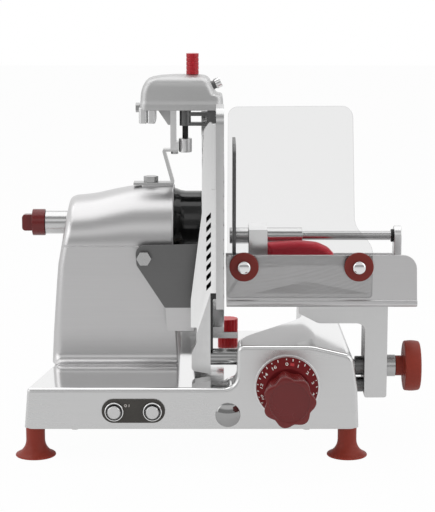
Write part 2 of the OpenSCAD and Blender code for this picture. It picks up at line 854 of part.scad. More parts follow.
module housing_skirt_body() {
  s = housing_skirt;
  lip = base_top + 0.8;
  left = housing_left_x;
  right = housing_right_x + 6;
  rear = axis_y + flank_half;
  front = axis_y - flank_half;
  intersection() {
    extrude_x(left - s, right + 1)
      outline([[front - s - 1, base_top, 0], [rear + s + 1, base_top, 0], [rear + s + 1, lip, 0],
               [rear, lip, s], [rear - 2, lip + s + 1, 0], [front + 2, lip + s + 1, 0], [front, lip, s],
               [front - s - 1, lip, 0]]);
    extrude_z(base_top, lip + s + 1)
      outline([[left, front - s - 1, 16], [right - 1, front - s - 1, 4],
               [right - 1, rear + s + 1, 4], [left, rear + s + 1, 16]]);
  }
}

module strip_pad() {
  block(bolt_x - 12, strip_bend_x, axis_y - strip_w / 2, axis_y + strip_w / 2, housing_top_z - 20, housing_top_z);
}

module motor_housing() {
  color("lightgray") difference() {
    union() {
      housing_body();
      housing_skirt_body();
      strip_pad();
    }
    rod_x(chamber_right_x - 1, housing_right_x + 1, bearing_r + seat, axis_y, blade_z);
    rod_x(bearing_left_x, chamber_left_x + 1, bearing_r + seat, axis_y, blade_z);
    rod_x(sleeve_in_x - 1, bearing_left_x + 1, tie_r + 3, axis_y, blade_z);
    rod_x(housing_left_x - 1, sleeve_in_x, sleeve_r + seat, axis_y, blade_z);
    extrude_x(chamber_left_x, chamber_right_x) translate([axis_y, blade_z]) belt_loop(belt_t + chamber_gap);
    rod_x(stator_left_x - 3, stator_right_x, stator_r + free, axis_y, motor_z);
    block(stator_left_x - 3, stator_right_x, axis_y - stator_r - free, axis_y + stator_r + free,
          base_top - 1, motor_z);
    rod_x(stator_right_x - 1, chamber_left_x + 1, motor_shaft_r + 3, axis_y, motor_z);
    at_housing_bolts() translate([0, 0, -1]) cylinder(h = 19, r = 3 + seat);
    rod_z(housing_top_z - top_thread - 1, housing_top_z + 1, bolt_r + seat, bolt_x, axis_y);
    rod_y(axis_y - flank_half - 1, axis_y - flank_half + 12, bolt_r + seat,
          deflector_bolt_x, deflector_bolt_z);
  }
}

module housing_bolts() {
  color("dimgray") at_housing_bolts() {
    translate([0, 0, -wall - 5]) cylinder(h = 5, r = 5.5, $fn = 6);
    translate([0, 0, -wall]) cylinder(h = wall + 16, r = 3);
  }
}

module motor_stator() {
  fin_n = 18;
  color("darkslategray") difference() {
    rod_x(stator_left_x, stator_right_x - 1, stator_r, axis_y, motor_z);
    rod_x(stator_left_x + 6, stator_right_x - 7, rotor_r + rotor_gap, axis_y, motor_z);
    rod_x(stator_left_x - 1, stator_right_x, motor_shaft_r + run, axis_y, motor_z);
    for (k = [1:fin_n - 1])
      translate([stator_left_x + 8, axis_y, motor_z]) rotate([k * 360 / fin_n - 90, 0, 0])
        block(0, stator_l - 18, -1, 1, stator_r - 3, stator_r + 1);
  }
}

module motor_rotor() {
  color("slategray") {
    rod_x(stator_left_x + 8, stator_right_x - 9, rotor_r, axis_y, motor_z);
    rod_x(stator_left_x, belt_x + pulley_w / 2, motor_shaft_r, axis_y, motor_z);
  }
}

// A grooved belt pulley on an X axis with its rim flanges
module pulley(r, bore, z) {
  lip = 2;
  color("silver") difference() {
    union() {
      rod_x(belt_x - pulley_w / 2, belt_x + pulley_w / 2, r - free, axis_y, z);
      for (k = [-1, 1])
        translate([k * (pulley_w / 2 - lip / 2), 0, 0])
          rod_x(belt_x - lip / 2 + 0.2, belt_x + lip / 2 - 0.2, r + 2, axis_y, z);
    }
    rod_x(belt_x - pulley_w, belt_x + pulley_w, bore, axis_y, z);
  }
}

module motor_pulley() { pulley(motor_pulley_r, motor_shaft_r, motor_z); }

module blade_pulley() { pulley(blade_pulley_r, shaft_r, blade_z); }

module drive_belt() {
  color("black") extrude_x(belt_x - belt_w / 2, belt_x + belt_w / 2) translate([axis_y, blade_z]) difference() {
    belt_loop(belt_t);
    belt_loop(0);
  }
}

module shaft_bearings() {
  color("gray") for (x = [bearing_left_x, bearing_right_x]) difference() {
    rod_x(x, x + bearing_w, bearing_r, axis_y, blade_z);
    rod_x(x - 1, x + bearing_w + 1, shaft_r + run, axis_y, blade_z);
  }
}

module hub_collar() {
  color("black") turned_x([[shaft_r + 2, housing_right_x], [collar_r + 4, housing_right_x],
                           [collar_r + 1, housing_right_x + 8], [collar_r, housing_right_x + 14],
                           [collar_r, collar_right_x], [shaft_r + 2, collar_right_x]]);
}

module at_blade_screws() {
  for (k = [0:blade_screws_n - 1])
    translate([0, axis_y, blade_z]) rotate([k * 360 / blade_screws_n, 0, 0])
      translate([0, 0, blade_screw_pitch]) rotate([0, 90, 0]) children();
}

module blade_shaft() {
  color("whitesmoke") difference() {
    union() {
      rod_x(bearing_left_x, flange_left_x + 1, shaft_r, axis_y, blade_z);
      rod_x(flange_left_x, blade_left_x, flange_r, axis_y, blade_z);
      rod_x(blade_left_x - 1, blade_web_x, spigot_r, axis_y, blade_z);
    }
    rod_x(bearing_left_x - 1, blade_web_x + 1, shaft_bore_r, axis_y, blade_z);
    at_blade_screws() translate([0, 0, flange_left_x - 1]) cylinder(h = 12, r = blade_screw_r + seat);
  }
}

// The blade is dished: its web stands back so that the cover lies within the cutting plane
module blade() {
  land = 21;
  bevel = 27;
  edge_t = 0.6;
  color("gainsboro") difference() {
    turned_x([[spigot_r + seat, blade_left_x], [blade_r - bevel, blade_left_x],
              [blade_r, blade_plane_x - edge_t], [blade_r, blade_plane_x], [blade_r - land, blade_plane_x],
              [blade_r - land - 4, blade_web_x], [spigot_r + seat, blade_web_x]]);
    at_blade_screws() translate([0, 0, blade_left_x - 1]) cylinder(h = 12, r = blade_screw_r + seat);
  }
}

module blade_screws() {
  color("gray") at_blade_screws() translate([0, 0, flange_left_x])
    cylinder(h = blade_web_x - flange_left_x, r = blade_screw_r);
}

module blade_cover() {
  color("silver") difference() {
    turned_x([[0, flange_left_x], [cover_boss_r, flange_left_x], [cover_boss_r, cover_left_x],
              [cover_r, cover_left_x], [cover_r, blade_plane_x - 1.2], [cover_r - 12, blade_plane_x - 0.4],
              [0, blade_plane_x - 0.4]]);
    rod_x(flange_left_x - 1, blade_web_x, tie_r + run, axis_y, blade_z);
  }
}

// The rim covers the rear, top and bottom of the blade, and its front arc is open for the cut
module blade_guard() {
  bottom_lap = 8;
  top_gap = 12;
  bracket_l = 27;
  bracket_h = 31;
  bracket_t = 4;
  lip = 6;
  lip_h = 22;
  web_y0 = guard_foot_y + 12;
  foot_x0 = -35;
  foot_x1 = clamp_x + clamp_r;
  color("lightgray") difference() {
    union() {
      turned_x([[guard_in_r - lip_h, guard_left_x], [guard_r, guard_left_x], [guard_r, blade_plane_x],
                [guard_in_r, blade_plane_x], [guard_in_r, guard_left_x + lip],
                [guard_in_r - lip_h, guard_left_x + lip - 2]], 180 - top_gap + bottom_lap, -bottom_lap);
      extrude_y(web_y0, guard_foot_y + guard_foot_d - 1)
        outline([[foot_x0 + 1, base_top + 1, 0], [foot_x0 + 24, base_top + 1, 0],
                 [guard_left_x + lip + 2, blade_z + 16, 0], [guard_left_x + 1.5, blade_z + 16, 0],
                 [foot_x0 + 1, base_top + 24, 0]]);
      block(foot_x0 - bracket_l, foot_x0 + 2, guard_foot_y + guard_foot_d - bracket_t - 1,
            guard_foot_y + guard_foot_d - 1, base_top, base_top + bracket_h);
      block(foot_x0, foot_x1, guard_foot_y, guard_foot_y + guard_foot_d, base_top, base_top + guard_foot_t);
    }
    rod_z(base_top - 1, base_top + guard_foot_t + 1, clamp_stud_r + run, clamp_x, clamp_y);
  }
}

module guard_clamp_knob() {
  color("red") {
    extrude_z(base_top + guard_foot_t + free, base_top + guard_foot_t + clamp_h)
      translate([clamp_x, clamp_y]) knurled(clamp_r, 14);
    rod_z(base_top - wall, base_top + guard_foot_t + 2, clamp_stud_r, clamp_x, clamp_y);
  }
}

module tie_rod_sleeve() {
  color("white") difference() {
    rod_x(sleeve_end_x, sleeve_in_x, sleeve_r, axis_y, blade_z);
    rod_x(sleeve_end_x - 1, sleeve_in_x + 1, tie_r + run, axis_y, blade_z);
  }
}

module tie_rod() {
  color("gainsboro") rod_x(tie_collar_x + 2, blade_web_x - 1, tie_r, axis_y, blade_z);
}

module tie_rod_knob() {
  grip_z = 10;
  grip_y = 5.5;
  color("brown") difference() {
    union() {
      rod_x(tie_collar_x, sleeve_end_x - free, sleeve_r + 2.1, axis_y, blade_z);
      extrude_y(axis_y - grip_y, axis_y + grip_y)
        outline([[tie_collar_x + 1, blade_z - grip_z, 0], [tie_collar_x + 1, blade_z + grip_z, 0],
                 [tie_end_x, blade_z + grip_z, 4], [tie_end_x, blade_z - grip_z, 4]]);
    }
    rod_x(tie_collar_x + 2, sleeve_end_x, tie_r, axis_y, blade_z);
  }
}

module slice_deflector() {
  right = -15;
  color("gray") difference() {
    union() {
      extrude_y(deflector_y, deflector_y + deflector_t)
        outline([[deflector_bolt_x - 11, deflector_bolt_z + 15, 11], [right, deflector_bolt_z + 17, 2],
                 [right - 8, blade_z - 90, 2], [right - 48, blade_z - 90, 2],
                 [deflector_bolt_x - 9, deflector_bolt_z - 9, 6]]);
      rod_y(deflector_y, axis_y - flank_half, bolt_r + 4, deflector_bolt_x, deflector_bolt_z);
    }
    rod_y(deflector_y - 1, axis_y - flank_half + 1, bolt_r + seat, deflector_bolt_x, deflector_bolt_z);
  }
}

// Sharpener

module hex_bolt(shank, shank_r, head_r) {
  color("silver") {
    cylinder(h = 0.8 * head_r, r = head_r, $fn = 6);
    translate([0, 0, -shank]) cylinder(h = shank + 1, r = shank_r);
  }
}

module hex_bolts() {
  translate([bolt_x, axis_y, housing_top_z + strip_t]) hex_bolt(strip_t + top_thread, bolt_r, 9);
  translate([deflector_bolt_x, deflector_y, deflector_bolt_z]) rotate([90, 0, 0])
    hex_bolt(axis_y - flank_half - deflector_y + 10, bolt_r, 9);
  translate([post_bolt_x, axis_y, post_low_z - strip_t]) rotate([180, 0, 0])
    hex_bolt(strip_t + 8, post_bolt_r, 4.5);
  translate([sharp_left_x - 1, axis_y, side_screw_z]) rotate([0, -90, 0]) hex_bolt(8, side_screw_r, 6);
}

module sharpener_strip() {
  top = post_low_z - strip_t;
  lean_x = post_left_x - 9;
  color("silver") difference() {
    extrude_y(axis_y - strip_w / 2, axis_y + strip_w / 2) {
      translate([strip_left_x, housing_top_z]) square([strip_bend_x - strip_left_x, strip_t]);
      polygon([[strip_bend_x - strip_t, housing_top_z + strip_t - 0.5], [strip_bend_x, housing_top_z + 0.5],
               [strip_bend_x + 1, housing_top_z + strip_t], [lean_x + strip_t, top],
               [lean_x, top + strip_t], [lean_x - 1, top]]);
      translate([lean_x, top]) square([post_left_x + post_foot_l - lean_x, strip_t]);
    }
    rod_z(housing_top_z - 1, housing_top_z + strip_t + 1, bolt_r + seat, bolt_x, axis_y);
    rod_z(top - 1, top + strip_t + 1, post_bolt_r + seat, post_bolt_x, axis_y);
  }
}

module sharpener_post() {
  foot_l = post_foot_l;
  foot_t = 9;
  half = 11;
  color("silver") difference() {
    extrude_y(axis_y - half, axis_y + half)
      outline([[post_left_x, post_low_z, 0], [post_left_x + foot_l, post_low_z, 0],
               [post_left_x + foot_l, post_low_z + foot_t, 0],
               [post_left_x + post_plate_t, post_low_z + foot_t, 1],
               [post_left_x + post_plate_t, sharp_z, 0], [post_left_x, sharp_z, 0]]);
    rod_z(post_low_z - 1, post_low_z + foot_t + 1, post_bolt_r + seat, post_bolt_x, axis_y);
  }
}

// Side view of the cover, set in by i, with its corners rounded by a share of their radius
module cover_outline(i, low, share) {
  outline([[sharp_left_x + i, low, 0], [sharp_right_x - i, low, 0],
           [sharp_right_x - i, sharp_z + 17 - i / 2, 3 * share],
           [sharp_right_x - 8.5 - i, sharp_z + 19 - i / 2, 3 * share],
           [sharp_right_x - 17 - i, sharp_top - 3 - i, 6 * share], [lift_x, sharp_top - i, 60 * share],
           [sharp_left_x + 9 + i, sharp_top - 4.5 - i, 10 * share],
           [sharp_left_x + 2 + i, sharp_z + 22, 12 * share]]);
}

module hone_frame() { translate([hone_face_x, axis_y, hone_face_z]) rotate([0, 90 - hone_tilt, 0]) children(); }

module sharpener_cover() {
  color("darkgray") difference() {
    union() {
      difference() {
        intersection() {
          extrude_y(axis_y - sharp_half, axis_y + sharp_half) cover_outline(0, sharp_z, 1);
          extrude_x(sharp_left_x, sharp_right_x)
            outline([[axis_y - sharp_half, sharp_z, 0], [axis_y + sharp_half, sharp_z, 0],
                     [axis_y + sharp_half, sharp_top, 14], [axis_y - sharp_half, sharp_top, 14]]);
        }
        extrude_y(axis_y - sharp_half + sharp_wall, axis_y + sharp_half - sharp_wall)
          cover_outline(sharp_wall, sharp_z - 1, 0);
      }
      block(post_left_x - 4, post_left_x + post_plate_t + 0.6, axis_y - sharp_half + 1, axis_y + sharp_half - 1,
            sharp_z, sharp_z + 14);
      for (k = [0, 1])
        extrude_z(sharp_z - leg_h, sharp_z + 5)
          translate([sharp_left_x + k * (leg_w - 0.2) - 1, axis_y])
            outline([[0, 2 - sharp_half, 4], [leg_w, 2 - sharp_half, 4], [leg_w, sharp_half - 2, 4],
                     [0, sharp_half - 2, 4]]);
      extrude_y(axis_y - 4, axis_y + 4)
        polygon([[post_left_x - 17, sharp_z + 1], [post_left_x - 3, sharp_z - 20], [post_left_x, sharp_z - 20],
                 [post_left_x, sharp_z + 1]]);
    }
    rod_x(sharp_left_x - 4, sharp_left_x + 8, side_screw_r + seat, axis_y, side_screw_z);
    rod_z(sharp_top - 30, sharp_top + 1, 3.5 + run, lift_x, axis_y);
    hone_frame() translate([0, 0, -40]) cylinder(h = 60, r = hone_r + run);
  }
}

yoke_low = sharp_z + 1;

// The stop collar meets the cover's roof when the knob is fully lifted
module lift_plunger() {
  yoke_t = 5;
  sleeve_l = 22;
  bar_t = 4;
  bar_end_x = -2.5;
  bracket_w = 10;
  roof_sag = 2.5;
  stop_h = 4;
  stop_z = sharp_top - sharp_wall - roof_sag - lift_travel - stop_h;
  color("dimgray") difference() {
    union() {
      rod_z(yoke_low, sharp_top + 8, 3.5, lift_x, axis_y);
      rod_z(stop_z, stop_z + stop_h, 6, lift_x, axis_y);
      block(spindle_x - 7.6, lift_x + 6, axis_y - 8, axis_y + 8, yoke_low, yoke_low + yoke_t);
      rod_z(yoke_low - sleeve_l, yoke_low + 1, 7, spindle_x, axis_y);
      for (z = [yoke_low - sleeve_l, yoke_low - 10])
        block(spindle_x + 4, bar_end_x, axis_y - 5, axis_y + 5, z, z + bar_t);
      block(bar_end_x - bracket_w, bar_end_x, axis_y - 6, axis_y + 6, yoke_low - sleeve_l - 1, yoke_low - 4);
    }
    rod_z(yoke_low - sleeve_l - 2, yoke_low + yoke_t + 1, 3.6 + run, spindle_x, axis_y);
  }
}

module lift_knob() {
  bottom = sharp_top + free;
  grooves = 4;
  pitch = lift_h / (grooves + 1);
  color("red") difference() {
    rod_z(bottom, bottom + lift_h, lift_r, lift_x, axis_y);
    for (k = [1:grooves])
      translate([lift_x, axis_y, bottom + k * pitch])
        rotate_extrude() translate([lift_r + 0.5, 0]) circle(0.9, $fn = 24);
    rod_z(bottom - 1, sharp_top + 8, 3.5, lift_x, axis_y);
  }
}

module grinding_stone() {
  stone_top = post_low_z + 13;
  color("silver") {
    rod_z(post_low_z - 4, stone_top, 8, spindle_x, axis_y);
    rod_z(stone_top - 1, yoke_low + 4, 3.6, spindle_x, axis_y);
  }
}

module hone_button() {
  head = hone_travel + 1;
  color("white") hone_frame() {
    translate([0, 0, head]) cylinder(h = 7.5, r = 6.3);
    translate([0, 0, -10]) cylinder(h = head + 11, r = hone_r);
  }
}

// Carriage

module slide_bar() { color("whitesmoke") rod_y(bar_start, bar_end, bar_r, bar_x, bar_z); }

// The slider on its bar, with the black bush and buffer between the base and the arm
module slider_block() {
  color("dimgray") {
    difference() {
      block(slider_left_x, slider_right_x, slider_y, slider_y + slider_l,
            bar_z - slider_half, bar_z + slider_half);
      rod_y(slider_y - 1, slider_y + slider_l + 1, bar_r + run, bar_x, bar_z);
      rod_x(slider_right_x - 3, slider_right_x + 1, lock_r + run, lock_y, lock_z);
    }
    difference() {
      rod_x(base_right_x + bush_gap, arm_left_x, arm_bush_r, lock_y, lock_z);
      rod_x(base_right_x, arm_left_x + 1, lock_r + run, lock_y, lock_z);
    }
    rod_x(arm_left_x - buffer_l, arm_left_x, buffer_r, lock_y, arm_low_z + buffer_r + 1);
  }
}

module carriage_arm() {
  low = arm_low_z;
  beam = 22;
  left = tray_left_x + arm_reach;
  color("silver") difference() {
    extrude_y(arm_y, arm_y + arm_w)
      outline([[left, tray_z, 0], [arm_right_x, tray_z, 0], [arm_right_x, low, 3], [arm_left_x, low, 3],
               [arm_left_x, tray_z - beam, 10], [left + 23, tray_z - beam, 16], [left, tray_z - 10, 3]]);
    rod_x(arm_left_x - 1, arm_right_x + 1, lock_r + run, lock_y, lock_z);
  }
}

module carriage_tray() {
  rear_h = 15;
  right_top = tray_right_x - 1.5;
  color("silver") difference() {
    union() {
      block(tray_left_x, tray_right_x, tray_y + tray_wall_t / 2, tray_y + tray_depth, tray_z, tray_top);
      extrude_y(tray_y, tray_y + tray_wall_t)
        outline([[tray_left_x, tray_z, 0], [tray_right_x, tray_z, 2], [right_top, tray_z + tray_wall_h, 16],
                 [tray_left_x, tray_z + tray_wall_h, 3]]);
      block(tray_left_x, tray_right_x, tray_y + tray_depth - tray_wall_t, tray_y + tray_depth, tray_z,
            tray_top + rear_h);
      rod_x(tray_left_x, tray_right_x, tray_floor / 2, tray_y + tray_wall_t / 2, tray_z + tray_floor / 2);
    }
    for (x = [washer_left_x, washer_right_x])
      rod_y(tray_y - 1, tray_y + tray_wall_t + 1, guard_screw_r + seat, x, washer_z);
  }
}

clear_low_z = tray_top + 2;
clear_wide = 169;
clear_narrow = 143.5;
clear_y = tray_y - clear_t;

module clear_guard() {
  left = tray_left_x + 0.5;
  wide = left + clear_wide;
  narrow = left + clear_narrow;
  color("aliceblue", 0.4) difference() {
    extrude_y(clear_y, tray_y)
      outline([[left, clear_low_z, 5], [wide, clear_low_z, 5], [wide, clear_low_z + 61, 26],
               [narrow + 4, clear_low_z + 86, 26], [narrow, clear_top_z, 13], [left + 1, clear_top_z - 1, 11]]);
    for (x = [washer_left_x, washer_right_x])
      rod_y(clear_y - 1, tray_y + 1, guard_screw_r + seat, x, washer_z);
  }
}

module guard_washers() {
  color("brown") for (x = [washer_left_x, washer_right_x]) difference() {
    rod_y(clear_y - washer_t, clear_y, washer_r, x, washer_z);
    rod_y(clear_y - washer_t - 1, clear_y + 1, guard_screw_r + seat, x, washer_z);
  }
}

module guard_screws() {
  head_r = 7.5;
  head_h = 4;
  color("gainsboro") for (x = [washer_left_x, washer_right_x]) {
    rod_y(clear_y - washer_t, tray_y + tray_wall_t + 3, guard_screw_r, x, washer_z);
    rod_y(clear_y - washer_t - head_h, clear_y - washer_t, head_r, x, washer_z);
  }
}

module pusher_rod() {
  color("whitesmoke") {
    rod_x(pusher_left_x + 2, post_x + post_w, rod_r, rod_y, rod_z);
    rod_x(post_x - stop_t, post_x, stop_r, rod_y, rod_z);
  }
}

module rod_post() {
  half = post_half;
  color("silver") difference() {
    union() {
      block(post_x, post_x + post_w, rod_y - half, rod_y + half, tray_top, rod_z);
      rod_x(post_x, post_x + post_w, half, rod_y, rod_z);
    }
    rod_x(post_x - 1, post_x + post_w + 1, rod_r + seat, rod_y, rod_z);
  }
}

module pusher_sleeve() {
  color("silver") difference() {
    union() {
      rod_x(pusher_left_x, pusher_right_x, pusher_r, rod_y, rod_z);
      block(block_left_x, block_left_x + block_w, rod_y - 36, rod_y + 14, rod_z - 33, rod_z + 13);
    }
    rod_x(pusher_left_x - 1, pusher_right_x + 1, rod_r + run, rod_y, rod_z);
  }
}

module pusher_plate() {
  low = tray_top + 5;
  color("dimgray") difference() {
    extrude_x(plate_x, plate_x + plate_t)
      outline([[rod_y - pusher_plate_w / 2, low, 4], [rod_y + pusher_plate_w / 2, low, 4],
               [rod_y + pusher_plate_w / 2, low + pusher_plate_h, 20],
               [rod_y - pusher_plate_w / 2, low + pusher_plate_h, 20]]);
    rod_x(plate_x - 1, plate_x + plate_t + 1, pusher_r + seat, rod_y, rod_z);
  }
}

module pusher_grip() {
  left = block_left_x + block_w;
  low = rod_z - 38;
  top = rod_z - 1.5;
  color("firebrick") extrude_y(rod_y - 36, rod_y - post_half - 1)
    outline([[left, low, 0], [left + 77, low, 8], [left + 81, top - 17, 10], [left + 68, top - 4, 24],
             [left + 42, top, 60], [left, top - 4, 3]]);
}

module lock_shaft() {
  collar_r2 = 13;
  color("gainsboro") {
    rod_x(slider_right_x - 3 + free, lock_end_x - 26, lock_r, lock_y, lock_z);
    rod_x(arm_right_x + free, lock_end_x - 29, collar_r2, lock_y, lock_z);
  }
}

module lock_knob() {
  disc_t = 19;
  neck_x = lock_end_x - 29;
  disc_x = lock_end_x - disc_t;
  color("brown") difference() {
    union() {
      rod_x(neck_x, disc_x + 1, 12, lock_y, lock_z);
      translate([disc_x, lock_y, lock_z]) rotate([0, 90, 0]) rotate_extrude($fn = 96)
        outline([[0, 0, 0], [lock_knob_r - 1, 0, 2], [lock_knob_r, disc_t / 2, 40],
                 [lock_knob_r - 1.5, disc_t, 3], [0, disc_t, 0]]);
    }
    rod_x(neck_x - 1, lock_end_x - 26, lock_r, lock_y, lock_z);
  }
}

base_casting();
bottom_cover();
bottom_cover_screws();
feet();
control_panel();
button_bezels();
switch_block();
front_cap();
dial_bezel();
gauge_bush();
slide_bar();
motor_housing();
housing_bolts();
motor_stator();
drive_belt();
shaft_bearings();
hub_collar();
blade_guard();
blade_cover();
tie_rod_sleeve();
slice_deflector();
hex_bolts();
sharpener_strip();
sharpener_post();
sharpener_cover();
start_button();
stop_button();
dial_ring();
dial_knob();
cam_shaft();
gauge_plate();
gauge_arm();
gauge_spacer();
gauge_shaft();
motor_rotor();
motor_pulley();
blade();
blade_shaft();
blade_pulley();
blade_screws();
tie_rod();
tie_rod_knob();
guard_clamp_knob();
slider_block();
carriage_arm();
carriage_tray();
clear_guard();
guard_washers();
guard_screws();
pusher_rod();
rod_post();
lock_shaft();
lock_knob();
pusher_sleeve();
pusher_plate();
pusher_grip();
lift_plunger();
lift_knob();
grinding_stone();
hone_button();
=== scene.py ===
"""Looks of an upright food slicer with a vertical blade.

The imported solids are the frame. Castings with soft rims are lofted again as smooth meshes, machined
pieces keep their solids with rounded edges, and every surface gets a procedural finish.
"""
from __future__ import annotations

import json
import logging
import math
from dataclasses import dataclass, field
from enum import Enum
from typing import Callable, Sequence

import bmesh
import bpy
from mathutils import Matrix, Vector


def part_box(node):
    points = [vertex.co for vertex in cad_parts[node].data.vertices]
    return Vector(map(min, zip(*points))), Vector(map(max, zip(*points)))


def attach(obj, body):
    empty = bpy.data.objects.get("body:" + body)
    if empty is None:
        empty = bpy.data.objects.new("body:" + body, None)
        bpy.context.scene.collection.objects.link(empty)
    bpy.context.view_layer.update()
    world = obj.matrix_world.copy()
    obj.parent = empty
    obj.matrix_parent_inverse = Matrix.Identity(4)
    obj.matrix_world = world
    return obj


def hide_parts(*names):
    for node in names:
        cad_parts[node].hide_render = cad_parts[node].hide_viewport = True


LOG = logging.getLogger("slicer")
MM = 0.001
TIP = 0.05 * MM

Colour = tuple[float, float, float]
Point2 = tuple[float, float]
Corner = tuple[float, float, float]
Patch = tuple[Callable[[Vector], bool], "Finish"]


class Axis(Enum):
    """An axis of space, as an index into a vector."""

    X = 0
    Y = 1
    Z = 2


# Shader effects


class Effect(Enum):
    """Names of the shader node groups that several finishes share."""

    BRUSHED = "brushed_grain"
    CLOUDS = "polish_clouds"
    WEAR = "edge_wear"
    SCUFFS = "fine_scuffs"
    MOULD = "mould_grain"


class EffectShop:
    """Builds each shared shader group once and places it in materials."""

    def __init__(self) -> None:
        """Start with no groups built."""
        self._made: dict[Effect, bpy.types.NodeTree] = {}

    def place(self, tree: bpy.types.NodeTree, effect: Effect,
              **values: float | Sequence[float]) -> bpy.types.Node:
        """Put a group into a material's node tree.

        Args:
            tree: The material's node tree.
            effect: The effect to place.
            **values: Group inputs by socket name, with underscores for spaces.

        Returns:
            The group node.
        """
        node = tree.nodes.new("ShaderNodeGroup")
        node.node_tree = self._group(effect)
        for name, value in values.items():
            node.inputs[name.replace("_", " ")].default_value = value
        return node

    def _group(self, effect: Effect) -> bpy.types.NodeTree:
        """Give the group of an effect, building it on first use."""
        if effect not in self._made:
            builders: dict[Effect, Callable[[bpy.types.NodeTree], None]] = {
                Effect.BRUSHED: self._brushed,
                Effect.CLOUDS: self._clouds,
                Effect.WEAR: self._wear,
                Effect.SCUFFS: self._scuffs,
                Effect.MOULD: self._mould,
            }
            group = bpy.data.node_groups.new(effect.value, "ShaderNodeTree")
            builders[effect](group)
            self._made[effect] = group
        return self._made[effect]

    @staticmethod
    def _sockets(group: bpy.types.NodeTree, inputs: dict[str, float], outputs: Sequence[str]) -> None:
        """Give a group its float inputs with defaults, and its float outputs."""
        for name, value in inputs.items():
            socket = group.interface.new_socket(name, in_out="INPUT", socket_type="NodeSocketFloat")
            socket.default_value = value
        for name in outputs:
            group.interface.new_socket(name, in_out="OUTPUT", socket_type="NodeSocketFloat")

    @staticmethod
    def _ends(group: bpy.types.NodeTree) -> tuple[bpy.types.Node, bpy.types.Node]:
        """Add the group's input and output nodes."""
        return group.nodes.new("NodeGroupInput"), group.nodes.new("NodeGroupOutput")

    @staticmethod
    def maths(group: bpy.types.NodeTree, operation: str,
              *values: float | bpy.types.NodeSocket) -> bpy.types.NodeSocket:
        """Add a math node.

        Args:
            group: The tree to add it to.
            operation: The math operation.
            *values: Numbers or sockets for its inputs.

        Returns:
            Its output socket.
        """
        node = group.nodes.new("ShaderNodeMath")
        node.operation = operation
        for slot, value in zip(node.inputs, values):
            if isinstance(value, bpy.types.NodeSocket):
                group.links.new(value, slot)
            else:
                slot.default_value = value
        return node.outputs[0]

    def _noise(self, group: bpy.types.NodeTree, scale: bpy.types.NodeSocket | float, detail: float,
               vector: bpy.types.NodeSocket | None = None) -> bpy.types.NodeSocket:
        """Add a noise texture in object space and give its factor."""
        node = group.nodes.new("ShaderNodeTexNoise")
        node.inputs["Detail"].default_value = detail
        if isinstance(scale, bpy.types.NodeSocket):
            group.links.new(scale, node.inputs["Scale"])
        else:
            node.inputs["Scale"].default_value = scale
        if vector is None:
            vector = group.nodes.new("ShaderNodeTexCoord").outputs["Object"]
        group.links.new(vector, node.inputs["Vector"])
        return node.outputs["Fac"]

    def _brushed(self, group: bpy.types.NodeTree) -> None:
        """Fine parallel streaks: each axis has its own count of streaks a metre."""
        self._sockets(group, {"Along X": 8.0, "Along Y": 600.0, "Along Z": 600.0}, ("Tone", "Height"))
        start, end = self._ends(group)
        coordinate = group.nodes.new("ShaderNodeTexCoord")
        split = group.nodes.new("ShaderNodeSeparateXYZ")
        joined = group.nodes.new("ShaderNodeCombineXYZ")
        group.links.new(coordinate.outputs["Object"], split.inputs[0])
        for axis in Axis:
            scaled = self.maths(group, "MULTIPLY", split.outputs[axis.value],
                                start.outputs["Along " + axis.name])
            group.links.new(scaled, joined.inputs[axis.value])
        streak = self._noise(group, 1.0, 3.0, joined.outputs[0])
        group.links.new(streak, end.inputs["Height"])
        group.links.new(self.maths(group, "SUBTRACT", streak, 0.5), end.inputs["Tone"])

    def _clouds(self, group: bpy.types.NodeTree) -> None:
        """Broad uneven polish, as hand-buffed castings show."""
        self._sockets(group, {"Scale": 14.0}, ("Tone",))
        start, end = self._ends(group)
        cloud = self._noise(group, start.outputs["Scale"], 2.0)
        group.links.new(self.maths(group, "SUBTRACT", cloud, 0.5), end.inputs["Tone"])

    def _wear(self, group: bpy.types.NodeTree) -> None:
        """Rubbed convex edges, broken up by a little noise."""
        self._sockets(group, {"Breakup": 90.0}, ("Mask",))
        start, end = self._ends(group)
        geometry = group.nodes.new("ShaderNodeNewGeometry")
        raised = self.maths(group, "SUBTRACT", geometry.outputs["Pointiness"], 0.52)
        broken = self.maths(group, "MULTIPLY", raised, self._noise(group, start.outputs["Breakup"], 3.0))
        node = group.nodes.new("ShaderNodeMath")
        node.operation = "MULTIPLY"
        node.use_clamp = True
        group.links.new(broken, node.inputs[0])
        node.inputs[1].default_value = 14.0
        group.links.new(node.outputs[0], end.inputs["Mask"])

    def _scuffs(self, group: bpy.types.NodeTree) -> None:
        """Thin random marks from handling and wiping."""
        self._sockets(group, {"Scale": 60.0}, ("Mask",))
        start, end = self._ends(group)
        coordinate = group.nodes.new("ShaderNodeTexCoord")
        warp = group.nodes.new("ShaderNodeTexNoise")
        warp.inputs["Scale"].default_value = 9.0
        group.links.new(coordinate.outputs["Object"], warp.inputs["Vector"])
        cell = group.nodes.new("ShaderNodeTexVoronoi")
        cell.feature = "DISTANCE_TO_EDGE"
        group.links.new(start.outputs["Scale"], cell.inputs["Scale"])
        mixed = group.nodes.new("ShaderNodeVectorMath")
        mixed.operation = "MULTIPLY_ADD"
        mixed.inputs[1].default_value = (0.05, 0.05, 0.05)
        group.links.new(warp.outputs["Color"], mixed.inputs[0])
        group.links.new(coordinate.outputs["Object"], mixed.inputs[2])
        group.links.new(mixed.outputs[0], cell.inputs["Vector"])
        thin = self.maths(group, "LESS_THAN", cell.outputs["Distance"], 0.012)
        sparse = self.maths(group, "GREATER_THAN", self._noise(group, 25.0, 1.0), 0.58)
        group.links.new(self.maths(group, "MULTIPLY", thin, sparse), end.inputs["Mask"])

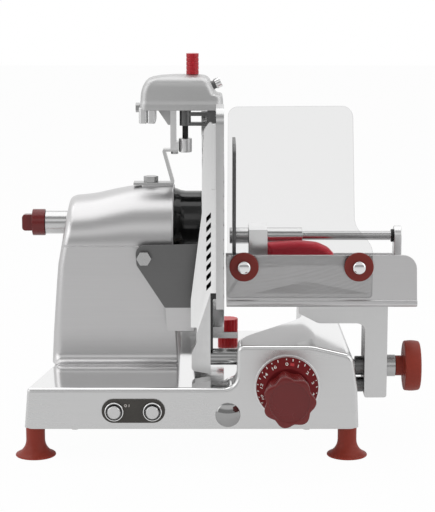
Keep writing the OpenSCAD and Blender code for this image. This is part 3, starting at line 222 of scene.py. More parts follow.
    def _mould(self, group: bpy.types.NodeTree) -> None:
        """The fine spark-eroded grain of moulded plastic, with a slow drift of tone."""
        self._sockets(group, {"Grain": 2600.0, "Drift": 22.0}, ("Height", "Tone"))
        start, end = self._ends(group)
        group.links.new(self._noise(group, start.outputs["Grain"], 1.0), end.inputs["Height"])
        drift = self._noise(group, start.outputs["Drift"], 2.0)
        group.links.new(self.maths(group, "SUBTRACT", drift, 0.5), end.inputs["Tone"])


EFFECTS = EffectShop()


# Finishes


MADE: dict[str, bpy.types.Material] = {}


class MaterialBench:
    """A new material with its Principled shader and a few ways to wire it."""

    def __init__(self, name: str) -> None:
        """Make an empty material with a Principled shader.

        Args:
            name: The material's name.
        """
        self.material = bpy.data.materials.new(name)
        self.material.use_nodes = True
        self.tree = self.material.node_tree
        self.shader = self.tree.nodes["Principled BSDF"]

    def math(self, operation: str, *values: float | bpy.types.NodeSocket) -> bpy.types.NodeSocket:
        """Add a math node and give its output."""
        return EffectShop.maths(self.tree, operation, *values)

    def vary(self, socket: str, base: float, *parts: tuple[bpy.types.NodeSocket, float]) -> None:
        """Feed a shader input from a base value plus weighted effects.

        Args:
            socket: The shader's input.
            base: The value where every effect is zero.
            *parts: Effect sockets with their weights.
        """
        total: float | bpy.types.NodeSocket = base
        for source, weight in parts:
            total = self.math("MULTIPLY_ADD", source, weight, total)
        self.tree.links.new(total, self.shader.inputs[socket])

    def tint(self, colour: Colour, *parts: tuple[bpy.types.NodeSocket, float]) -> None:
        """Feed the base colour: the colour brightened or darkened by weighted effects.

        Args:
            colour: The plain colour.
            *parts: Effect sockets with their weights.
        """
        amount: float | bpy.types.NodeSocket = 1.0
        for source, weight in parts:
            amount = self.math("MULTIPLY_ADD", source, weight, amount)
        node = self.tree.nodes.new("ShaderNodeVectorMath")
        node.operation = "SCALE"
        node.inputs[0].default_value = colour
        self.tree.links.new(amount, node.inputs["Scale"])
        self.tree.links.new(node.outputs[0], self.shader.inputs["Base Color"])

    def bump(self, height: bpy.types.NodeSocket, strength: float, distance: float) -> None:
        """Feed the shader's normal from a height through a bump node."""
        node = self.tree.nodes.new("ShaderNodeBump")
        node.inputs["Strength"].default_value = strength
        node.inputs["Distance"].default_value = distance
        self.tree.links.new(height, node.inputs["Height"])
        self.tree.links.new(node.outputs[0], self.shader.inputs["Normal"])

    def set(self, **values: float | Sequence[float]) -> None:
        """Set plain shader inputs by name, with underscores for spaces."""
        for name, value in values.items():
            self.shader.inputs[name.replace("_", " ")].default_value = value


class Finish:
    """A finish that builds its material once."""

    name: str

    def material(self) -> bpy.types.Material:
        """Give the finish's material, building it on first use."""
        if self.name not in MADE:
            MADE[self.name] = self._build()
        return MADE[self.name]

    def _build(self) -> bpy.types.Material:
        """Build the material."""
        raise NotImplementedError


@dataclass(frozen=True)
class MetalFinish(Finish):
    """Bare metal with grain, uneven polish, rubbed edges and scuffs."""

    name: str
    tone: Colour
    roughness: float
    grain: Axis = Axis.X
    grain_fine: float = 700.0
    grain_depth: float = 0.06
    streak: float = 0.10
    clouds: float = 0.10
    wear: float = 0.12
    scuffs: float = 0.015

    def _build(self) -> bpy.types.Material:
        """Build the metal."""
        bench = MaterialBench(self.name)
        runs = {"Along_" + axis.name: 9.0 if axis is self.grain else self.grain_fine for axis in Axis}
        brushed = EFFECTS.place(bench.tree, Effect.BRUSHED, **runs)
        clouds = EFFECTS.place(bench.tree, Effect.CLOUDS, Scale=11.0)
        wear = EFFECTS.place(bench.tree, Effect.WEAR, Breakup=120.0)
        scuffs = EFFECTS.place(bench.tree, Effect.SCUFFS, Scale=45.0)
        bench.set(Metallic=1.0)
        bench.tint(self.tone, (brushed.outputs["Tone"], self.streak), (clouds.outputs["Tone"], self.clouds),
                   (wear.outputs["Mask"], self.wear))
        bench.vary("Roughness", self.roughness, (clouds.outputs["Tone"], 0.06),
                   (brushed.outputs["Tone"], 0.05), (scuffs.outputs["Mask"], self.scuffs))
        bench.bump(brushed.outputs["Height"], self.grain_depth, 0.0004)
        return bench.material


@dataclass(frozen=True)
class PlasticFinish(Finish):
    """Moulded plastic with its fine grain, a drift of tone and rubbed edges."""

    name: str
    tone: Colour
    roughness: float
    grain_depth: float = 0.12
    drift: float = 0.25
    coat: float = 0.0
    wear: float = 0.25
    scuffs: float = 0.04
    gloss: float = 0.35

    def _build(self) -> bpy.types.Material:
        """Build the plastic."""
        bench = MaterialBench(self.name)
        mould = EFFECTS.place(bench.tree, Effect.MOULD)
        wear = EFFECTS.place(bench.tree, Effect.WEAR, Breakup=200.0)
        scuffs = EFFECTS.place(bench.tree, Effect.SCUFFS, Scale=70.0)
        bench.set(Metallic=0.0, Specular_IOR_Level=self.gloss, Coat_Weight=self.coat, Coat_Roughness=0.08)
        bench.tint(self.tone, (mould.outputs["Tone"], self.drift), (wear.outputs["Mask"], self.wear))
        bench.vary("Roughness", self.roughness, (mould.outputs["Tone"], 0.15),
                   (scuffs.outputs["Mask"], self.scuffs))
        bench.bump(mould.outputs["Height"], self.grain_depth, 0.0002)
        return bench.material


@dataclass(frozen=True)
class ClearFinish(Finish):
    """Clear acrylic sheet: see-through, paler at a slant, with faint wiping marks."""

    name: str
    tone: Colour
    cover: float
    slant: float = 0.5

    def _build(self) -> bpy.types.Material:
        """Build the clear sheet."""
        bench = MaterialBench(self.name)
        scuffs = EFFECTS.place(bench.tree, Effect.SCUFFS, Scale=40.0)
        facing = bench.tree.nodes.new("ShaderNodeLayerWeight")
        facing.inputs["Blend"].default_value = 0.25
        bench.set(Base_Color=(*self.tone, 1.0), Metallic=0.0, IOR=1.49)
        bench.vary("Alpha", self.cover, (facing.outputs["Fresnel"], self.slant),
                   (scuffs.outputs["Mask"], 0.006))
        bench.vary("Roughness", 0.05, (scuffs.outputs["Mask"], 0.03))
        return bench.material


@dataclass(frozen=True)
class PrintFinish(Finish):
    """Pad-printed ink, a little uneven."""

    name: str
    tone: Colour

    def _build(self) -> bpy.types.Material:
        """Build the ink."""
        bench = MaterialBench(self.name)
        mould = EFFECTS.place(bench.tree, Effect.MOULD, Drift=160.0)
        bench.tint(self.tone, (mould.outputs["Tone"], 0.3))
        bench.set(Roughness=0.55)
        return bench.material


@dataclass(frozen=True)
class Finishes:
    """Every finish of the machine, by its place on it."""

    casting: Finish = MetalFinish("satin_front", (0.63, 0.63, 0.63), 0.28, Axis.X, 420.0, 0.012, 0.05, 0.05)
    # The polished deck: its low roughness is the real polish, its lighter tone is painted light on the faces
    # turned upwards.
    polish: Finish = MetalFinish("polished_deck_lit", (0.84, 0.84, 0.84), 0.08, Axis.X, 420.0,
                                   0.01, 0.03, 0.04, 0.05)
    column: Finish = MetalFinish("column_casting", (0.59, 0.585, 0.588), 0.32, Axis.X, 480.0, 0.02, 0.07, 0.05)
    guard: Finish = MetalFinish("guard_casting", (0.84, 0.84, 0.84), 0.22, Axis.Z, 300.0, 0.01, 0.03, 0.04)
    tray: Finish = MetalFinish("tray_plate", (0.58, 0.575, 0.578), 0.34, Axis.X, 900.0, 0.02, 0.05, 0.05)
    arm: Finish = MetalFinish("arm_casting", (0.62, 0.62, 0.62), 0.30, Axis.Z, 500.0, 0.03, 0.05, 0.05)
    gauge: Finish = MetalFinish("gauge_plate", (0.58, 0.58, 0.58), 0.28, Axis.Z, 800.0, 0.03, 0.06, 0.06)
    satin: Finish = MetalFinish("matt_casting", (0.53, 0.53, 0.53), 0.46, Axis.X, 300.0, 0.02, 0.04, 0.04)
    mast: Finish = MetalFinish("mast_casting", (0.92, 0.92, 0.92), 0.22, Axis.Z, 160.0, 0.10, 0.10, 0.10)
    pale: Finish = MetalFinish("pale_casting", (0.70, 0.70, 0.70), 0.32, Axis.Z, 500.0, 0.03, 0.05, 0.05)
    steel: Finish = MetalFinish("ground_steel", (0.60, 0.60, 0.60), 0.22, Axis.X, 900.0, 0.03, 0.06, 0.05)
    shaft: Finish = MetalFinish("dark_shaft", (0.36, 0.36, 0.36), 0.18, Axis.X, 900.0, 0.03, 0.10, 0.05)
    rod: Finish = MetalFinish("rod_steel", (0.46, 0.46, 0.46), 0.26, Axis.X, 900.0, 0.03, 0.10, 0.05)
    blade: Finish = MetalFinish("blade_steel", (0.66, 0.66, 0.66), 0.16, Axis.Y, 900.0, 0.03, 0.06, 0.05)
    chrome: Finish = MetalFinish("bright_chrome", (0.80, 0.80, 0.80), 0.07, Axis.X, 900.0,
                                   0.01, 0.02, 0.03, 0.05)
    # A darkened copy of the bright chrome: painted dark reflection, standing in for the dim room that the dome
    # mirrors.
    cap: Finish = MetalFinish("cap_chrome_painted_reflection", (0.36, 0.36, 0.36), 0.06, Axis.X, 900.0, 0.01, 0.02, 0.03, 0.05)
    zinc: Finish = MetalFinish("zinc_fastener", (0.62, 0.62, 0.62), 0.28, Axis.Z, 900.0, 0.03, 0.06, 0.05)
    # Also paints the shade on the honing button's neck.
    dark: Finish = MetalFinish("dark_plate_and_shade", (0.16, 0.16, 0.16), 0.36, Axis.X, 600.0, 0.03, 0.08, 0.10)
    inner: Finish = MetalFinish("inner_steel", (0.35, 0.35, 0.36), 0.40, Axis.X, 700.0, 0.05)
    bronze: Finish = MetalFinish("bush_bronze", (0.55, 0.36, 0.16), 0.30, Axis.X, 700.0, 0.05)
    brick: Finish = PlasticFinish("brick_red", (0.300, 0.034, 0.018), 0.50)
    rust: Finish = PlasticFinish("washer_red", (0.200, 0.022, 0.016), 0.50)
    maroon: Finish = PlasticFinish("maroon_knob", (0.170, 0.014, 0.014), 0.26, 0.05, 0.15, 0.15)
    dial: Finish = PlasticFinish("dial_ring_red", (0.150, 0.010, 0.012), 0.60, 0.06, 0.15, gloss=0.10)
    red: Finish = PlasticFinish("bright_red", (0.50, 0.012, 0.022), 0.32, 0.06, 0.15, 0.1)
    # A lightened copy of the bright red for the clamp knob: painted light that offsets the shadow it sits in.
    clamp: Finish = PlasticFinish("clamp_red_painted_light", (0.85, 0.030, 0.040), 0.40, 0.06, 0.15, 0.1)
    grip: Finish = PlasticFinish("grip_red", (0.60, 0.026, 0.048), 0.36, 0.04, 0.15, gloss=0.20)
    black: Finish = PlasticFinish("gloss_black", (0.006, 0.006, 0.006), 0.16, 0.03, 0.1, 0.4, 0.4)
    # Also the black of the gauge mast's slot walls and of the sheet behind them: painted shade.
    rubber_and_shade: Finish = PlasticFinish("black_rubber_and_shade", (0.014, 0.014, 0.014), 0.55, 0.2)
    panel: Finish = PlasticFinish("panel_grey", (0.065, 0.060, 0.054), 0.45, 0.1)
    clear: Finish = ClearFinish("clear_sheet", (0.03, 0.03, 0.03), 0.080, 0.20)
    clear_edge: Finish = ClearFinish("clear_rim", (0.10, 0.11, 0.11), 0.50)
    ink: Finish = PrintFinish("white_ink", (0.80, 0.76, 0.72))
    index: Finish = PrintFinish("index_red", (0.42, 0.004, 0.010))


FINISH = Finishes()


# Mesh tools


def arc_corner(before: Corner, here: Corner, after: Corner, steps: int) -> list[Point2]:
    """Round one corner of an outline.

    Args:
        before: The corner before it, as x, y and radius.
        here: The corner to round.
        after: The corner after it.
        steps: Segments in the arc.

    Returns:
        Always steps + 1 points, so that outlines of the same corners can be lofted.
    """
    p = Vector(here[:2])
    u = (Vector(before[:2]) - p).normalized()
    v = (Vector(after[:2]) - p).normalized()
    half = math.acos(max(-1.0, min(1.0, u.dot(v)))) / 2
    if half > math.radians(89.5):
        return [tuple(p)] * (steps + 1)
    centre = p + (u + v).normalized() * here[2] / math.sin(half)
    start = p + u * here[2] / math.tan(half) - centre
    turn = start.angle_signed(p + v * here[2] / math.tan(half) - centre)
    points = []
    for k in range(steps + 1):
        a = -turn * k / steps
        points.append((centre.x + start.x * math.cos(a) - start.y * math.sin(a),
                       centre.y + start.x * math.sin(a) + start.y * math.cos(a)))
    return points


def rounded(corners: Sequence[Corner], steps: int = 6) -> list[Point2]:
    """Turn corners with radii into one closed outline."""
    count = len(corners)
    outline: list[Point2] = []
    for k in range(count):
        outline += arc_corner(corners[k - 1], corners[k], corners[(k + 1) % count], steps)
    return outline


def rectangle(x: Point2, y: Point2, low_radius: float, high_radius: float | None = None) -> list[Corner]:
    """Give a rectangle's corners, counter-clockwise from the lower left.

    Args:
        x: Its left and right ends.
        y: Its lower and upper ends.
        low_radius: Radius of the lower corners.
        high_radius: Radius of the upper corners, where it differs.

    Returns:
        Four corners.
    """
    above = low_radius if high_radius is None else high_radius
    return [(x[0], y[0], low_radius), (x[1], y[0], low_radius), (x[1], y[1], above), (x[0], y[1], above)]


def shrink(corners: Sequence[Corner], distance: float) -> list[Corner]:
    """Move the sides of a counter-clockwise outline inwards and keep its rounding concentric.

    Args:
        corners: The corners with their radii.
        distance: How far the sides move in.

    Returns:
        As many corners, with outer radii reduced and inner ones grown.
    """
    count = len(corners)
    moved: list[Corner] = []
    for k in range(count):
        here = Vector(corners[k][:2])
        back = (here - Vector(corners[k - 1][:2])).normalized()
        ahead = (Vector(corners[(k + 1) % count][:2]) - here).normalized()
        n0, n1 = Vector((-back.y, back.x)), Vector((-ahead.y, ahead.x))
        point = here + (n0 + n1) * distance / (1 + n0.dot(n1))
        outer = back.x * ahead.y - back.y * ahead.x > 0
        radius = max(corners[k][2] - distance, 0.05 * MM) if outer else corners[k][2] + distance
        moved.append((point.x, point.y, radius))
    return moved


def rim_stations(low: float, high: float, radius: float, steps: int = 4) -> list[tuple[float, float]]:
    """Give (place, inset) pairs that round both ends of a prism."""
    turns = [math.pi / 2 * k / steps for k in range(steps + 1)]
    near = [(low + radius * (1 - math.sin(t)), radius * (1 - math.cos(t))) for t in reversed(turns)]
    far = [(high - radius * (1 - math.sin(t)), radius * (1 - math.cos(t))) for t in turns]
    return near + far


def loft(rings: Sequence[Sequence[Vector]], capped: bool = True) -> bmesh.types.BMesh:
    """Skin a row of closed rings that have the same number of points.

    Args:
        rings: The rings, in order.
        capped: Whether both ends are closed with a face.

    Returns:
        The new mesh.
    """
    mesh = bmesh.new()
    rows = [[mesh.verts.new(p) for p in ring] for ring in rings]
    count = len(rows[0])
    for a, b in zip(rows, rows[1:]):
        for k in range(count):
            n = (k + 1) % count
            mesh.faces.new((a[k], a[n], b[n], b[k]))
    if capped:
        mesh.faces.new(list(reversed(rows[0])))
        mesh.faces.new(rows[-1])
    bmesh.ops.remove_doubles(mesh, verts=mesh.verts, dist=1e-6)
    bmesh.ops.recalc_face_normals(mesh, faces=mesh.faces)
    return mesh


def place(axis: Axis, along: float, point: Point2) -> Vector:
    """Put an outline point into space: Y outlines hold X and Z, X ones Y and Z, Z ones X and Y."""
    if axis is Axis.X:
        return Vector((along, point[0], point[1]))
    if axis is Axis.Y:
        return Vector((point[0], along, point[1]))
    return Vector((point[0], point[1], along))


def prism(axis: Axis, low: float, high: float, corners: Sequence[Corner], rim: float,
          steps: int = 6) -> bmesh.types.BMesh:
    """Draw an outline of corners out along an axis, with rounded rims at both ends."""
    stations = rim_stations(low, high, rim)
    return loft([[place(axis, at, p) for p in rounded(shrink(corners, d), steps)] for at, d in stations])


def lathe(axis: Axis, centre: Vector, profile: Sequence[Point2], steps: int = 72) -> bmesh.types.BMesh:
    """Turn a profile of (radius, place along the axis) points round an axis through a centre."""
    rings = []
    for radius, along in profile:
        ring = []
        for k in range(steps):
            a = 2 * math.pi * k / steps
            flat = (radius * math.cos(a), radius * math.sin(a))
            ring.append(place(axis, along, flat) + place(axis, 0.0, flatten(axis, centre)))
        rings.append(ring)
    return loft(rings)


def tube(axis: Axis, centre: Vector, profile: Sequence[Point2], steps: int = 72) -> bmesh.types.BMesh:
    """Turn a closed profile of (radius, place) points into a ring."""
    rings = []
    for k in range(steps):
        a = 2 * math.pi * k / steps
        rings.append([place(axis, along, (radius * math.cos(a), radius * math.sin(a)))
                      + place(axis, 0.0, flatten(axis, centre)) for radius, along in profile])
    return loft(rings + rings[:1], capped=False)


def drill(start: Vector, aim: Vector, length: float, radius: float, steps: int = 32) -> bmesh.types.BMesh:
    """Give a round cutter from a point along a direction."""
    across = aim.orthogonal().normalized()
    other = aim.cross(across)
    rings = []
    for along in (0.0, length):
        rings.append([start + aim * along + (across * math.cos(2 * math.pi * k / steps)
                                             + other * math.sin(2 * math.pi * k / steps)) * radius
                      for k in range(steps)])
    return loft(rings)


def flatten(axis: Axis, point: Vector) -> Point2:
    """Give the two coordinates of a point that lie across an axis."""
    rest = [point[other.value] for other in Axis if other is not axis]
    return rest[0], rest[1]


class Shop:
    """Turns meshes into pieces of the machine, and dresses the solids that stay."""

    def __init__(self, nodes: dict[str, bpy.types.Object]) -> None:
        """Keep the frame's nodes.

        Args:
            nodes: The CAD objects by node name.
        """
        self.nodes = nodes
        self.made: list[str] = []

    def piece(self, name: str, mesh: bmesh.types.BMesh, finish: Finish, body: str, slot: str,
              replaces: Sequence[str] = ()) -> bpy.types.Object:
        """Make a smooth-shaded piece that rides on a body.

        Args:
            name: The piece's name.
            mesh: Its mesh, which is used up.
            finish: Its finish.
            body: The CAD body it rides on.
            slot: The record's material slot; not used.
            replaces: CAD nodes that it stands for.

        Returns:
            The new object.
        """
        data = bpy.data.meshes.new(name)
        for face in mesh.faces:
            face.smooth = True
        mesh.to_mesh(data)
        mesh.free()
        data.materials.append(finish.material())
        piece = bpy.data.objects.new(name, data)
        bpy.context.scene.collection.objects.link(piece)
        weighted = piece.modifiers.new("even_normals", "WEIGHTED_NORMAL")
        weighted.keep_sharp = True
        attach(piece, body)
        if replaces:
            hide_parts(*replaces)
        self.made.append(name)
        LOG.info("piece %s rides on %s", name, body)
        return piece

    def dress(self, node: str, finish: Finish, edge: float = 0.0006, segments: int = 2,
              patches: Sequence[Patch] = (), edge_finish: Finish | None = None) -> None:
        """Give a CAD node its finish and rounded edges, and leave its mesh as it is.

        Args:
            node: The node's name.
            finish: The finish.
            edge: Radius of the rounded edges.
            segments: Segments across a rounded edge.
            patches: Other finishes with a test of the face's middle.
            edge_finish: The finish of the rounded edges, where it differs.
        """
        solid = self.nodes[node]
        solid.data.materials.clear()
        solid.data.materials.append(finish.material())
        for number, (test, other) in enumerate(patches, 1):
            solid.data.materials.append(other.material())
            for face in solid.data.polygons:
                if test(face.center):
                    face.material_index = number
        if "custom_normal" in solid.data.attributes:
            solid.data.attributes.remove(solid.data.attributes["custom_normal"])
        solid.data.shade_smooth()
        weld = solid.modifiers.new("weld", "WELD")
        weld.merge_threshold = 2e-6
        flat = solid.modifiers.new("flat_faces", "DECIMATE")
        flat.decimate_type = "DISSOLVE"
        flat.angle_limit = math.radians(0.6)
        flat.delimit = {"MATERIAL"}
        bevel = solid.modifiers.new("edges", "BEVEL")
        bevel.width = edge
        bevel.segments = segments
        bevel.limit_method = "ANGLE"
        bevel.angle_limit = math.radians(38)
        bevel.use_clamp_overlap = True
        if edge_finish:
            solid.data.materials.append(edge_finish.material())
            bevel.material = len(solid.data.materials) - 1
        weighted = solid.modifiers.new("even_normals", "WEIGHTED_NORMAL")
        weighted.keep_sharp = True
        LOG.info("dressed %s", node)

    def cut(self, piece: bpy.types.Object, cutters: Sequence[bmesh.types.BMesh]) -> None:
        """Take closed shapes out of a piece, for good.

        Args:
            piece: The piece to cut.
            cutters: Closed meshes, which are used up.
        """
        for mesh in cutters:
            data = bpy.data.meshes.new("cutter")
            mesh.to_mesh(data)
            mesh.free()
            tool = bpy.data.objects.new("cutter", data)
            bpy.context.scene.collection.objects.link(tool)
            step = piece.modifiers.new("cut", "BOOLEAN")
            step.operation = "DIFFERENCE"
            step.solver = "EXACT"
            step.object = tool
            piece.modifiers.move(len(piece.modifiers) - 1, 0)
            bpy.context.view_layer.update()
            whole = piece.modifiers["even_normals"]
            whole.show_viewport = False
            graph = bpy.context.evaluated_depsgraph_get()
            result = bpy.data.meshes.new_from_object(piece.evaluated_get(graph))
            whole.show_viewport = True
            piece.modifiers.remove(step)
            old = piece.data
            piece.data = result
            bpy.data.meshes.remove(old)
            bpy.data.objects.remove(tool)


# Sub-assemblies


@dataclass
class Base:
    """The base casting with its dial housing, its cover, feet and inner slide bar."""

    shop: Shop
    rim: float = 5 * MM
    draft_left: float = 4 * MM
    draft_right: float = 2 * MM
    top_edge: float = 4 * MM
    fillet: float = 15 * MM
    base_h: float = 47 * MM
    tower_left: float = 22 * MM
    rail_left: float = 103 * MM
    slant_start: float = 45 * MM
    slant_end: float = 158 * MM
    shoulder: float = 55 * MM
    shoulder_in: float = 8 * MM
    tower_edge: float = 7 * MM
    shoulder_drop: float = 11 * MM
    plan_bend: float = 113 * MM
    plan_in: float = 21 * MM
    plan_rear: float = 27 * MM
    right_rear: float = 5 * MM
    polish_lit_above: float = 0.72
    wall_blend: float = 14 * MM
    foot_edge: float = 0.6 * MM
    wall_draft: float = 1 * MM
    right_round: float = 14 * MM
    shoulder_round: float = 12 * MM
    top_round: float = 60 * MM
    slot_r: float = 9.5 * MM
    slot_corner: float = 0.95
    slider_gap: float = 1 * MM
    slot_past: float = 10 * MM

    def build(self) -> None:
        """Loft the casting and dress the rest."""
        low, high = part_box("base_casting")
        stations = self._depths(high.y - low.y)
        rings = []
        for depth, distance in stations:
            corners = shrink(self._section(depth, low, high), distance)
            corners[:2] = [(x, low.z, radius) for x, _, radius in corners[:2]]
            outline = rounded(corners, 7)
            rings.append([Vector((x, low.y + depth, z)) for x, z in outline])
        body = self.shop.piece("base_casting_skin", loft(rings), FINISH.casting, "base", "cast_aluminium",
                               ["base_casting"])
        self.shop.cut(body, self._slot_cutters(high))
        # Faces turned upwards get the polished finish: real polish, with a lighter tone that paints the light
        # falling on the tops.
        body.data.materials.append(FINISH.polish.material())
        for face in body.data.polygons:
            face.material_index = int(face.normal.z > self.polish_lit_above)
        self.shop.dress("bottom_cover", FINISH.steel)
        self.shop.dress("bottom_cover_screws", FINISH.zinc, 0.0003)
        self.shop.dress("feet", FINISH.brick, 0.0012, 3)
        self.shop.dress("slide_bar", FINISH.steel)

    def _depths(self, depth: float) -> list[tuple[float, float]]:
        """Give the sections' depths behind the front face, with the rim's inset."""
        ends = rim_stations(0.0, depth, self.rim)
        half = len(ends) // 2
        inner = [self.slant_start * 0.6 + (self.slant_end * 1.15 - self.slant_start * 0.6) * k / 14
                 for k in range(15)]
        return ends[:half] + [(d, 0.0) for d in inner] + ends[half:]

    def _bend(self, depth: float, start: float, end: float, blend: float) -> float:
        """Give 0 before start, 1 after end and a line between, with soft ends."""
        span = end - start

        def ramp(t: float) -> float:
            """Integrate a soft step of width blend."""
            if t < -blend:
                return 0.0
            if t > blend:
                return t
            return (t + blend) ** 2 / (4 * blend)

        return (ramp(depth - start) - ramp(depth - end)) / span

    def _section(self, depth: float, low: Vector, high: Vector) -> list[Corner]:
        """Give the corners across the base at a depth, counter-clockwise from the lower left."""
        share = depth / (high.y - low.y)
        left = low.x + self.plan_in * min(1.0, depth / self.plan_bend)
        past = max(0.0, depth - self.plan_bend) / (high.y - low.y - self.plan_bend)
        left += (self.plan_rear - self.plan_in) * past
        right = high.x - self.right_rear * share
        wall = self.tower_left + (self.rail_left - self.tower_left) * self._bend(
            depth, self.slant_start, self.slant_end, self.wall_blend)
        deck = low.z + self.base_h
        top = high.z
        shoulder = high.x - self.shoulder
        flat = shoulder - wall - self.wall_draft
        edge = min(self.tower_edge, 0.5 * flat)
        ease = min(self.top_round, 4 * (flat - edge))
        return [
            (left, low.z, self.foot_edge), (right, low.z, self.foot_edge),
            (right - self.draft_right, deck, self.right_round),
            (right - self.shoulder_in, top - self.shoulder_drop, self.shoulder_round), (shoulder, top, ease),
            (wall + self.wall_draft, top, edge), (wall, deck, self.fillet),
            (left + self.draft_left, deck, self.top_edge),
        ]

    def _slot_cutters(self, high: Vector) -> list[bmesh.types.BMesh]:
        """Give the slot of the carriage lock and the channel of the slider behind it."""
        travel = next(j["range_m"][1] for j in FRAME["joints"] if j["name"] == "carriage_slide")
        shaft_low, shaft_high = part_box("lock_shaft")
        slider_low, slider_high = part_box("slider_block")
        bar_low, bar_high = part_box("slide_bar")
        middle = bar_low.z + (bar_high.z - bar_low.z) / 2
        y = (shaft_low.y + shaft_high.y) / 2
        radius, gap = self.slot_r, self.slider_gap
        slot = rounded(rectangle((y - radius, y + travel + radius), (middle - radius, middle + radius),
                                 radius * self.slot_corner))
        channel = [corner[:2] for corner in rectangle((slider_low.y - gap, slider_high.y + travel + gap),
                                                      (slider_low.z - gap, slider_high.z + gap), 0.0)]
        outside = high.x + self.slot_past
        return [loft([[place(Axis.X, x, p) for p in slot] for x in (slider_high.x - gap, outside)]),
                loft([[place(Axis.X, x, p) for p in channel]
                      for x in (slider_low.x - gap, slider_high.x + gap)])]


@dataclass
class Controls:
    """The control panel with its two buttons, the switch behind it and the bright cap."""

    shop: Shop
    groove: tuple[float, float] = (8.5 * MM, 9.8 * MM)
    turning: float = 0.35 * MM
    turning_depth: float = 0.07 * MM
    face_t: float = 0.5 * MM
    dome: float = 4.3 * MM
    mark_place: tuple[float, float] = (-7.4 * MM, 6.6 * MM)
    mark_h: float = 3.2 * MM
    mark_w: float = 0.7 * MM
    bar_right: float = 2.6 * MM
    ring_left: float = 1.6 * MM
    ink_front: float = 0.1 * MM
    ink_back: float = 0.2 * MM
    face_in: float = 0.7 * MM
    face_edge: float = 0.3 * MM
    face_sunk: float = 0.2 * MM
    groove_sunk: float = 0.3 * MM
    groove_proud: float = 0.1 * MM
    cap_steps: int = 14
    cap_edge: Point2 = (0.3 * MM, 0.5 * MM)
    cap_stub: float = 6 * MM

    def build(self) -> None:
        """Dress the panel, cap and buttons and add the printed marks."""
        self.shop.dress("control_panel", FINISH.panel, 0.0006, 3)
        self.shop.dress("button_bezels", FINISH.chrome, 0.0012, 3)
        self.shop.dress("switch_block", FINISH.rubber_and_shade)
        for button in ("start_button", "stop_button"):
            self.shop.dress(button, FINISH.zinc, 0.0008, 3)
            self._turned_face(button)
        self._cap()
        self._marks()

    def _turned_face(self, button: str) -> None:
        """Put a turned disc on a button, which is also its body, and a dark groove on its bezel."""
        low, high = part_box(button)
        centre = (low + high) / 2
        reach = (high.x - low.x) / 2 - self.face_in
        front = low.y - self.face_t
        rows = int(reach / self.turning)
        profile = [(TIP, front)]
        profile += [(self.turning * k, front + self.turning_depth * (k % 2)) for k in range(1, rows + 1)]
        rim = reach + self.face_edge
        profile += [(rim, front + self.face_edge), (rim, low.y + self.face_sunk)]
        self.shop.piece(button + "_face", lathe(Axis.Y, centre, profile, 48), FINISH.zinc, button, "chrome")
        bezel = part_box("button_bezels")[0].y
        inner, outer = self.groove
        sunk, proud = bezel + self.groove_sunk, bezel - self.groove_proud
        ring = [(inner, sunk), (inner, proud), (outer, proud), (outer, sunk)]
        self.shop.piece(button + "_groove", tube(Axis.Y, centre, ring), FINISH.rubber_and_shade, "base", "black")

    def _cap(self) -> None:
        """Turn the domed cap on the base's front."""
        low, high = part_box("front_cap")
        centre = (low + high) / 2
        radius = (high.x - low.x) / 2
        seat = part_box("base_casting")[0].y
        rim = low.y + self.dome
        profile = []
        for k in range(self.cap_steps):
            share = k / self.cap_steps
            profile.append((max(TIP, radius * share), low.y + self.dome * share ** 2))
        profile += [(radius - self.cap_edge[0], rim), (radius, rim + self.cap_edge[1]), (radius, seat)]
        profile += [(self.cap_stub, seat), (self.cap_stub, high.y)]
        # The cap's chrome is darkened overall: painted dark reflection.
        self.shop.piece("front_cap_dome", lathe(Axis.Y, centre, profile), FINISH.cap, "base", "chrome",
                        ["front_cap"])

    def _marks(self) -> None:
        """Print a plain ring and a bar beside the left button."""
        low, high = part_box("control_panel")
        middle = (low + high) / 2
        x, z = middle.x + self.mark_place[0], middle.z + self.mark_place[1]
        half = self.mark_h / 2
        front, back = low.y - self.ink_front, low.y + self.ink_back
        bar_x = x + self.bar_right
        bar = rectangle((bar_x - self.mark_w / 2, bar_x + self.mark_w / 2), (z - half, z + half), 0.1 * MM)
        self.shop.piece("panel_bar_mark", prism(Axis.Y, front, back, bar, 0.05 * MM, 2), FINISH.ink, "base",
                        "panel")
        ring = [(half - self.mark_w, back), (half - self.mark_w, front), (half, front), (half, back)]
        centre = Vector((x - self.ring_left, 0.0, z))
        self.shop.piece("panel_ring_mark", tube(Axis.Y, centre, ring, 32), FINISH.ink, "base", "panel")


